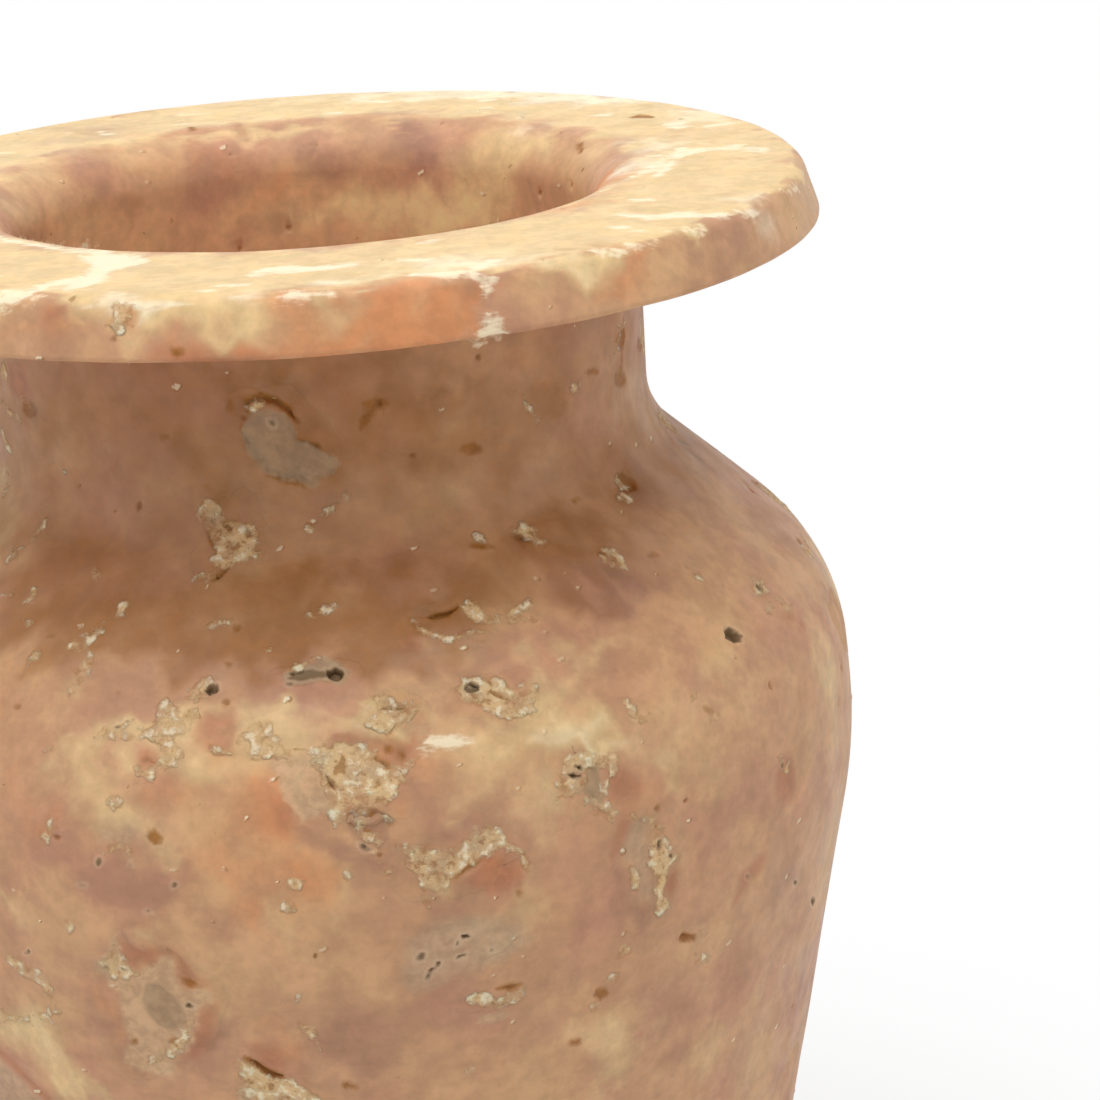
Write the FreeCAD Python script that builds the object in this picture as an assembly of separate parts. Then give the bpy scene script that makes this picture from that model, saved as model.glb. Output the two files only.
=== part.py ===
"""A hand-carved stone jar with a broad flat rim, as an assembly of the stone's own pieces.

The jar stands on the ground plane with its axis on Z and its foot's centre at the origin.
One block of stone is bored out and turned into foot, belly, shoulder, neck and rim. The rock
is a natural breccia: harder and softer lumps of other stone are set in it like stones in a
wall, and where the carver cut through one it shows as a grey, cream or beige island, a
little below the polished skin. Each of those lumps is a solid of its own, seated on the
floor and walls of a socket in the block.

Lengths are millimetres. Azimuth 0 faces -Y, and azimuth grows towards +X.
"""

import FreeCAD, Part
import math
import os
from collections import namedtuple

Vector = FreeCAD.Vector

# How far each stage of the outside rises above the one below it, from the ground up
LOWER_BELLY_RISE = 31.5
UPPER_BELLY_RISE = 40.5
SHOULDER_RISE = 13.1
NECK_FOOT_RISE = 13.8
NECK_RISE = 15.2
RIM_UNDERCUT = 1.4
RIM_THICKNESS = 4.5

# Radii of the outside
FOOT_RADIUS = 29.6
LOWER_BELLY_RADIUS = 36.9
UPPER_BELLY_RADIUS = 44.0
SHOULDER_RADIUS = 42.85
NECK_RADIUS = 27.45
RIM_RADIUS = 42.2

# How far the rim's edge slopes outwards, from the flat top to the sharp arris below
RIM_BEVEL = 1.5

# Roundings of the outside
FOOT_ROUND = 2.5
LOWER_BELLY_ROUND = 300.0
UPPER_BELLY_ROUND = 45.0
SHOULDER_ROUND = 15.0
NECK_FOOT_ROUND = 8.0
UNDER_RIM_ROUND = 1.0
RIM_ARRIS_ROUND = 0.4
RIM_TOP_ROUND = 1.5
LIP_ROUND = 4.4

# Wall thicknesses, and how far the inner corners lie below the outer ones
NECK_WALL = 4.0
BELLY_WALL = 7.2
INNER_SHOULDER_DROP = 1.0
BORE_END_DROP = 3.8
FOOT_WALL = 6.2
FLOOR_THICKNESS = 11.0

# Roundings of the bored inside
BORE_END_ROUND = 2.5
INNER_SHOULDER_ROUND = 9.0
FLOOR_ROUND = 10.0

# Inclusions: the span that their widths and heights are shares of, the depth of their
# sockets, how far the stone in them lies below the skin, and how far the cutter that
# hollows a socket stands out of the skin
INCLUSION_SPAN = 10.0
SOCKET_DEPTH = 1.5
INCLUSION_RECESS = 0.25
CUTTER_OVERRUN = 3.0

# Share of the shorter neighbouring run that one rounding may use up
ROUND_LIMIT_SHARE = 0.45

# A ragged outline is an ellipse whose radius swells by these shares, 2, 3 and 5 times round
LOBE_COUNTS = (2, 3, 5)
LOBE_SHARES = (0.07, 0.11, 0.05)
OUTLINE_POINTS = 16

# Of the outside's edges, the foot's flat and its rounding come before the wall
FOOT_EDGE_COUNT = 2
WALL_EDGE_COUNT = 9

# Heights above the ground, which follow from the rises
LOWER_BELLY_HEIGHT = LOWER_BELLY_RISE
UPPER_BELLY_HEIGHT = LOWER_BELLY_HEIGHT + UPPER_BELLY_RISE
SHOULDER_HEIGHT = UPPER_BELLY_HEIGHT + SHOULDER_RISE
NECK_FOOT_HEIGHT = SHOULDER_HEIGHT + NECK_FOOT_RISE
UNDER_RIM_HEIGHT = NECK_FOOT_HEIGHT + NECK_RISE
RIM_ARRIS_HEIGHT = UNDER_RIM_HEIGHT + RIM_UNDERCUT
HEIGHT = RIM_ARRIS_HEIGHT + RIM_THICKNESS

# One inclusion: azimuth, its place up the outside from foot to rim (0 to 1), its width and
# height as shares of the inclusions' span, its turn in the skin and the turn of its lobes
Inclusion = namedtuple(
    "Inclusion", "azimuth_deg climb_share width_share height_share turn_deg lobe_deg"
)

INCLUSIONS = {
    # On the side that the photograph shows
    "grey_neck_inclusion": Inclusion(-4.8, 0.938, 0.92, 0.49, -45, 20),
    "cream_neck_inclusion": Inclusion(-14.8, 0.872, 0.41, 0.66, -15, 140),
    "grey_shoulder_inclusion": Inclusion(14.0, 0.800, 0.74, 0.33, 6, 75),
    "dark_pitted_inclusion": Inclusion(-2.5, 0.772, 0.55, 0.25, 4, 210),
    "round_holed_inclusion": Inclusion(17.0, 0.744, 0.69, 0.33, -10, 300),
    "cream_slot_inclusion": Inclusion(5.6, 0.746, 0.40, 0.22, 6, 45),
    "cream_shoulder_inclusion": Inclusion(1.2, 0.704, 0.70, 0.54, -14, 160),
    "cream_pit_inclusion": Inclusion(22.4, 0.686, 0.36, 0.41, 10, 110),
    "cream_band_inclusion": Inclusion(10.0, 0.648, 1.04, 0.33, 12, 260),
    "tall_grey_inclusion": Inclusion(30.8, 0.613, 0.48, 0.77, 8, 330),
    "speckled_green_inclusion": Inclusion(8.8, 0.586, 0.70, 0.38, 20, 15),
    "large_beige_inclusion": Inclusion(-21.4, 0.553, 0.96, 1.07, -24, 95),
    "pink_bar_inclusion": Inclusion(12.9, 0.548, 0.41, 0.16, 5, 190),
    "lower_cream_inclusion": Inclusion(-9.6, 0.496, 0.52, 0.55, -30, 230),
    # On the sides and back, which the photograph does not show
    "left_cream_inclusion": Inclusion(-112.0, 0.745, 0.63, 0.36, -20, 280),
    "left_beige_inclusion": Inclusion(-74.0, 0.620, 0.82, 0.52, 34, 60),
    "left_low_inclusion": Inclusion(-92.0, 0.310, 0.58, 0.85, 16, 150),
    "right_cream_inclusion": Inclusion(78.0, 0.680, 0.71, 0.41, -28, 35),
    "right_low_inclusion": Inclusion(64.0, 0.350, 0.74, 0.55, 40, 250),
    "back_neck_inclusion": Inclusion(-166.0, 0.930, 0.66, 0.41, 30, 310),
    "back_grey_inclusion": Inclusion(158.0, 0.650, 0.93, 0.60, -18, 120),
    "back_cream_inclusion": Inclusion(122.0, 0.490, 0.82, 0.47, 12, 85),
    "back_low_inclusion": Inclusion(-148.0, 0.400, 0.69, 0.93, -24, 200),
    "front_low_inclusion": Inclusion(6.0, 0.250, 0.71, 0.49, -16, 170),
}


def profile_point(radius, height):
    """A point of the section, which is drawn in the XZ plane."""
    return Vector(radius, 0, height)


def rounded_run(corners):
    """Edges through corners of (radius, height, rounding), each inner corner made an arc."""
    points = [profile_point(radius, height) for radius, height, _ in corners]
    edges = []
    start = points[0]
    for index in range(1, len(points) - 1):
        corner = points[index]
        back = (points[index - 1] - corner).normalize()
        ahead = (points[index + 1] - corner).normalize()
        half_turn = (math.pi - back.getAngle(ahead)) / 2
        shorter_run = min(
            (points[index - 1] - corner).Length, (points[index + 1] - corner).Length
        )
        tangent = min(
            corners[index][2] * math.tan(half_turn), shorter_run * ROUND_LIMIT_SHARE
        )
        rounding = tangent / math.tan(half_turn)
        inwards = (back + ahead).normalize()
        middle_offset = rounding / math.cos(half_turn) - rounding
        first = corner + back * tangent
        last = corner + ahead * tangent
        middle = corner + inwards * middle_offset
        edges.append(Part.makeLine(start, first))
        edges.append(Part.Arc(first, middle, last).toShape())
        start = last
    edges.append(Part.makeLine(start, points[-1]))
    return edges


def outer_corners():
    """The outside, from the foot's centre up to the middle of the rim's flat top."""
    return [
        (0, 0, 0),
        (FOOT_RADIUS, 0, FOOT_ROUND),
        (LOWER_BELLY_RADIUS, LOWER_BELLY_HEIGHT, LOWER_BELLY_ROUND),
        (UPPER_BELLY_RADIUS, UPPER_BELLY_HEIGHT, UPPER_BELLY_ROUND),
        (SHOULDER_RADIUS, SHOULDER_HEIGHT, SHOULDER_ROUND),
        (NECK_RADIUS, NECK_FOOT_HEIGHT, NECK_FOOT_ROUND),
        (NECK_RADIUS, UNDER_RIM_HEIGHT, UNDER_RIM_ROUND),
        (RIM_RADIUS, RIM_ARRIS_HEIGHT, RIM_ARRIS_ROUND),
        (RIM_RADIUS - RIM_BEVEL, HEIGHT, RIM_TOP_ROUND),
        ((RIM_RADIUS - RIM_BEVEL + NECK_RADIUS) / 2, HEIGHT, 0),
    ]


def inner_corners():
    """The inside, from the middle of the rim's flat top down the bore to the floor's centre."""
    bore_radius = NECK_RADIUS - NECK_WALL
    belly_round = UPPER_BELLY_ROUND - BELLY_WALL
    return [
        ((RIM_RADIUS - RIM_BEVEL + NECK_RADIUS) / 2, HEIGHT, 0),
        (bore_radius, HEIGHT, LIP_ROUND),
        (bore_radius, NECK_FOOT_HEIGHT - BORE_END_DROP, BORE_END_ROUND),
        (SHOULDER_RADIUS - BELLY_WALL, SHOULDER_HEIGHT - INNER_SHOULDER_DROP, INNER_SHOULDER_ROUND),
        (UPPER_BELLY_RADIUS - BELLY_WALL, UPPER_BELLY_HEIGHT, belly_round),
        (LOWER_BELLY_RADIUS - BELLY_WALL, LOWER_BELLY_HEIGHT, LOWER_BELLY_ROUND),
        (FOOT_RADIUS - FOOT_WALL, FLOOR_THICKNESS, FLOOR_ROUND),
        (0, FLOOR_THICKNESS, 0),
    ]


def carved_block():
    """The whole jar turned from one stone, before any socket is cut."""
    axis = Part.makeLine(profile_point(0, FLOOR_THICKNESS), profile_point(0, 0))
    edges = rounded_run(outer_corners()) + rounded_run(inner_corners()) + [axis]
    section = Part.Face(Part.Wire(edges))
    return section.revolve(Vector(0, 0, 0), Vector(0, 0, 1), 360)


def wall_edges():
    """The part of the outside that carries inclusions: from the foot's rounding to the rim."""
    last_wall_edge_count = FOOT_EDGE_COUNT + WALL_EDGE_COUNT
    return rounded_run(outer_corners())[FOOT_EDGE_COUNT:last_wall_edge_count]


def seat_on_wall(edges, climb_share):
    """The section point at that share of the wall's length, and the upward direction there."""
    left = sum(edge.Length for edge in edges) * climb_share
    for edge in edges:
        if left <= edge.Length:
            parameter = edge.getParameterByLength(left)
            return edge.valueAt(parameter), edge.tangentAt(parameter)
        left -= edge.Length
    raise ValueError("an inclusion lies past the end of the wall")


def turned(section_vector, azimuth):
    """A vector of the section, turned about the axis to face that azimuth."""
    return Vector(
        section_vector.x * math.sin(azimuth),
        -section_vector.x * math.cos(azimuth),
        section_vector.z,
    )


def ragged_outline(size, centre, across, upwards):
    """A closed smooth outline round a centre, in the plane of two unit vectors."""
    turn = math.radians(size.turn_deg)
    lobe_turn = math.radians(size.lobe_deg)
    half_width = size.width_share * INCLUSION_SPAN / 2
    half_height = size.height_share * INCLUSION_SPAN / 2
    points = []
    for step in range(OUTLINE_POINTS):
        angle = 2 * math.pi * step / OUTLINE_POINTS
        swell = 1 + sum(
            share * math.cos(count * (angle + lobe_turn))
            for count, share in zip(LOBE_COUNTS, LOBE_SHARES)
        )
        along = half_width * swell * math.cos(angle)
        aside = half_height * swell * math.sin(angle)
        points.append(
            centre
            + across * (along * math.cos(turn) - aside * math.sin(turn))
            + upwards * (along * math.sin(turn) + aside * math.cos(turn))
        )
    curve = Part.BSplineCurve()
    curve.interpolate(Points=points, PeriodicFlag=True)
    return Part.Wire(curve.toShape())


def socket_and_inclusion(block, edges, size):
    """The cutter that hollows one socket, and the lump of stone that sits in it."""
    azimuth = math.radians(size.azimuth_deg)
    seat, rise = seat_on_wall(edges, size.climb_share)
    centre = turned(seat, azimuth)
    upwards = turned(rise, azimuth)
    outwards = turned(Vector(rise.z, 0, -rise.x), azimuth)
    across = Vector(math.cos(azimuth), math.sin(azimuth), 0)
    outline = ragged_outline(size, centre + outwards * CUTTER_OVERRUN, across, upwards)
    cutter = Part.Face(outline).extrude(outwards * -(CUTTER_OVERRUN + SOCKET_DEPTH))
    sunk_block = block.copy()
    sunk_block.translate(outwards * -INCLUSION_RECESS)
    return cutter, cutter.common(sunk_block)


def main():
    """Builds the block and its inclusions and writes one STEP file for each."""
    os.makedirs("parts", exist_ok=True)
    block = carved_block()
    edges = wall_edges()
    cutters = []
    for name, size in INCLUSIONS.items():
        cutter, inclusion = socket_and_inclusion(block, edges, size)
        cutters.append(cutter)
        inclusion.exportStep(f"parts/{name}.step")
        print(name, "valid", inclusion.isValid(), "volume", round(inclusion.Volume, 2))
    vase_body = block.cut(cutters)
    vase_body.exportStep("parts/vase_body.step")
    print("vase_body valid", vase_body.isValid(), "volume", round(vase_body.Volume, 1))


main()
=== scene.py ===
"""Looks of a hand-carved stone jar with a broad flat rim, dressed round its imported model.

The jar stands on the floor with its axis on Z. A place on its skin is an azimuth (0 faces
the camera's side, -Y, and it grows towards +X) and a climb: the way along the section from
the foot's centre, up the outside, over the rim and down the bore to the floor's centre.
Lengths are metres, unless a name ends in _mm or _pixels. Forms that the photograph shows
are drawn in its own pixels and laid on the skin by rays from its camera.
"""
import math
from collections import namedtuple

import bpy
import numpy as np
from bpy.props import FloatProperty, FloatVectorProperty, IntProperty, PointerProperty
from mathutils import Matrix, Vector
from mathutils.bvhtree import BVHTree


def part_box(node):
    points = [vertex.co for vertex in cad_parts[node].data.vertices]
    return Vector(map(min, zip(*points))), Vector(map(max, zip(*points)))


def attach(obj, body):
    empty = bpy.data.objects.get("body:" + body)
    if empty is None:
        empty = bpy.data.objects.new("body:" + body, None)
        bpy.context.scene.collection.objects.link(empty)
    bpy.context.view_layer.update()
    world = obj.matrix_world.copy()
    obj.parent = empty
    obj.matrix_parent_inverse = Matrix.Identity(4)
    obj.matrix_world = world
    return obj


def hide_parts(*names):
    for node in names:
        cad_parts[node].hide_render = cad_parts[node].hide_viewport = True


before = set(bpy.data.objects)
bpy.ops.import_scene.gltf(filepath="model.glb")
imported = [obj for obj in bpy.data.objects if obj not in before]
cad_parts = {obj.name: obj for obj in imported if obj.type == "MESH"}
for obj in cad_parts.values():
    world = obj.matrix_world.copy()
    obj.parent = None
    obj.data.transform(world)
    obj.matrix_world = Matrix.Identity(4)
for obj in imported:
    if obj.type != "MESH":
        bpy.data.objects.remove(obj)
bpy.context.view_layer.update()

bl_info = {
    "name": "Stone Jar",
    "version": (1, 0, 0),
    "blender": (4, 5, 0),
    "location": "View3D > Sidebar > Stone Jar",
    "description": "Builds a weathered stone jar with a flat rim and its studio",
    "category": "Add Mesh",
}

MM = 0.001
BODY = "root"
JAR_NODE = "vase_body"
JAR_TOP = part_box(JAR_NODE)[1].z

# The camera of the photograph, whose frame is a square
PHOTO_SIDE_PIXELS = 1100
PHOTO_FOCAL_PIXELS = 3063.0
CAMERA_DISTANCE = 0.252
CAMERA_ELEVATION = math.radians(10.86)
CAMERA_YAW = math.radians(4.32)
CAMERA_PITCH = math.radians(-18.08)
CAMERA_ROLL = math.radians(-3.2)
SENSOR_WIDTH_MM = 36.0


def length(name, description, default):
    """A length of the jar that a user can change."""
    return FloatProperty(
        name=name, description=description, default=default, min=0.0, unit="LENGTH", subtype="DISTANCE"
    )


def colour(name, description, default):
    """A colour of the stone that a user can change."""
    return FloatVectorProperty(
        name=name, description=description, default=default, size=3, min=0.0, max=1.0, subtype="COLOR"
    )


class StoneJarSizes(bpy.types.PropertyGroup):
    """Sizes of the turned jar."""

    lower_belly_rise: length("Lower belly rise", "Foot to the lower belly", 0.0315)
    upper_belly_rise: length("Upper belly rise", "Lower to upper belly", 0.0405)
    shoulder_rise: length("Shoulder rise", "Upper belly to shoulder", 0.0131)
    neck_foot_rise: length("Neck foot rise", "Shoulder to the neck's foot", 0.0138)
    neck_rise: length("Neck rise", "Neck's foot to the rim's underside", 0.0152)
    rim_undercut: length("Rim undercut", "How far the rim's underside climbs outwards", 0.0014)
    rim_thickness: length("Rim thickness", "Sharp lower arris to the flat top", 0.0045)
    rim_bevel: length("Rim bevel", "How far the rim's edge slopes outwards", 0.0015)
    foot_radius: length("Foot radius", "Radius of the flat foot", 0.0296)
    lower_belly_radius: length("Lower belly radius", "Radius of the lower belly", 0.0369)
    upper_belly_radius: length("Upper belly radius", "Radius of the upper belly", 0.044)
    shoulder_radius: length("Shoulder radius", "Radius of the shoulder's corner", 0.04285)
    neck_radius: length("Neck radius", "Radius of the neck", 0.02745)
    rim_radius: length("Rim radius", "Radius of the rim's lower arris", 0.0422)
    neck_wall: length("Neck wall", "Wall of the neck", 0.004)
    belly_wall: length("Belly wall", "Wall of the belly", 0.0072)
    foot_wall: length("Foot wall", "Wall beside the floor", 0.0062)
    floor_thickness: length("Floor thickness", "Stone under the hollow", 0.011)
    lip_round: length("Lip rounding", "Rounding from the flat top into the bore", 0.0044)


class StoneJarRelief(bpy.types.PropertyGroup):
    """How the stone's skin is worked and weathered."""

    wobble_depth: length("Wobble", "How far the hand-carved outline strays", 0.00016)
    tool_depth: length("Tool marks", "Depth of the low facets left by grinding", 0.00005)
    grain_depth: length("Grain", "Depth of the crystals' grain", 0.000012)
    crumble_depth: length("Crumble", "Depth of the crumbled crusts", 0.00035)
    pit_depth: length("Pits", "Depth of the scattered small pits", 0.00025)
    pit_spacing: length("Pit spacing", "Width of the cells that hold one pit at most", 0.0026)
    skin_step: length("Skin step", "Spacing of the skin's mesh before it is thinned", 0.00025)
    triangle_limit: IntProperty(
        name="Triangle limit", description="Most triangles left in the jar's mesh", default=192000
    )
    seed: IntProperty(name="Seed", description="Seed of everything random", default=7)


class StoneJarColours(bpy.types.PropertyGroup):
    """Colours of the stone."""

    tan: colour("Tan", "Ground colour of the stone", (0.565, 0.312, 0.166))
    honey: colour("Honey", "Yellow clouds", (0.65, 0.39, 0.196))
    pink: colour("Pink", "Pink-brown clouds", (0.54, 0.275, 0.164))
    mauve: colour("Mauve", "Dark mauve-brown clouds", (0.36, 0.18, 0.115))
    # Orange: orange blotches of the stone, and the painted glow of light through the rim's edge
    orange: colour("Orange", "Warm glowing blotches", (0.66, 0.275, 0.113))
    pale: colour("Pale", "Pale yellow veils", (0.80, 0.585, 0.29))
    # Patina: brown patina, and painted shade where the rim's shadow falls on the neck and the shoulder
    patina: colour("Patina", "Brown patina under the rim", (0.35, 0.15, 0.045))
    # Red: reddish stains, and painted shadow bands beside some lumps and flakes
    red: colour("Red", "Reddish stains", (0.43, 0.17, 0.085))
    # Umber: golden-brown stains and dirt, and painted shade in crevices along lumps' edges, beside flecks and
    # in the lime
    umber: colour("Umber", "Dark golden-brown stains and dirt", (0.31, 0.115, 0.012))
    cream: colour("Cream", "Crusts and lumps of lime", (0.76, 0.52, 0.275))
    # White: fresh chips and milky stone, and painted highlights in the milk clouds, the lime's lit grains and
    # the pale rings round pits
    white: colour("White", "Fresh chips, and milky stone", (0.95, 0.83, 0.60))
    grey: colour("Grey", "Grey-green lumps", (0.41, 0.265, 0.15))
    beige: colour("Beige", "Beige lumps", (0.60, 0.385, 0.22))
    sage: colour("Sage", "Soft grey-green patches", (0.50, 0.335, 0.205))
    # Shade: painted shade, with dirt, inside the pits and deepest hollows
    shade: colour("Shade", "Dirt in the deepest hollows", (0.18, 0.11, 0.05))


# Lumps whose own stone isn't the cream one
GREY_LUMPS = (
    "grey_neck_inclusion",
    "grey_shoulder_inclusion",
    "dark_pitted_inclusion",
    "tall_grey_inclusion",
    "speckled_green_inclusion",
    "left_low_inclusion",
    "back_grey_inclusion",
)
BEIGE_LUMPS = (
    "large_beige_inclusion",
    "pink_bar_inclusion",
    "left_beige_inclusion",
    "right_low_inclusion",
    "back_low_inclusion",
)

# How an oval is drawn, and how wide a stroke's ends are against its middle
OVAL_CORNERS = 12
STROKE_END_SHARE = 0.3


def shape(*numbers):
    """Corners of a shape in the photograph, given as x, y, x, y and so on."""
    return tuple(zip(numbers[::2], numbers[1::2]))


def oval(x, y, half_width, half_height, turn=0):
    """Corners of an oval in the photograph, its turn in degrees, clockwise."""
    cosine, sine = math.cos(math.radians(turn)), math.sin(math.radians(turn))
    corners = []
    for step in range(OVAL_CORNERS):
        angle = step * 2 * math.pi / OVAL_CORNERS
        across, down = half_width * math.cos(angle), half_height * math.sin(angle)
        corners.append((x + across * cosine - down * sine, y + across * sine + down * cosine))
    return tuple(corners)


def stroke(half_width, *numbers):
    """Corners of a brush stroke through points of the photograph, narrower at its ends."""
    points = shape(*numbers)
    there, back = [], []
    for index, (x, y) in enumerate(points):
        before, after = points[max(index - 1, 0)], points[min(index + 1, len(points) - 1)]
        run = math.hypot(after[0] - before[0], after[1] - before[1])
        aside = ((before[1] - after[1]) / run, (after[0] - before[0]) / run)
        reach = half_width * (STROKE_END_SHARE if index in (0, len(points) - 1) else 1.0)
        there.append((x + aside[0] * reach, y + aside[1] * reach))
        back.append((x - aside[0] * reach, y - aside[1] * reach))
    return tuple(there + back[::-1])


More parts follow.
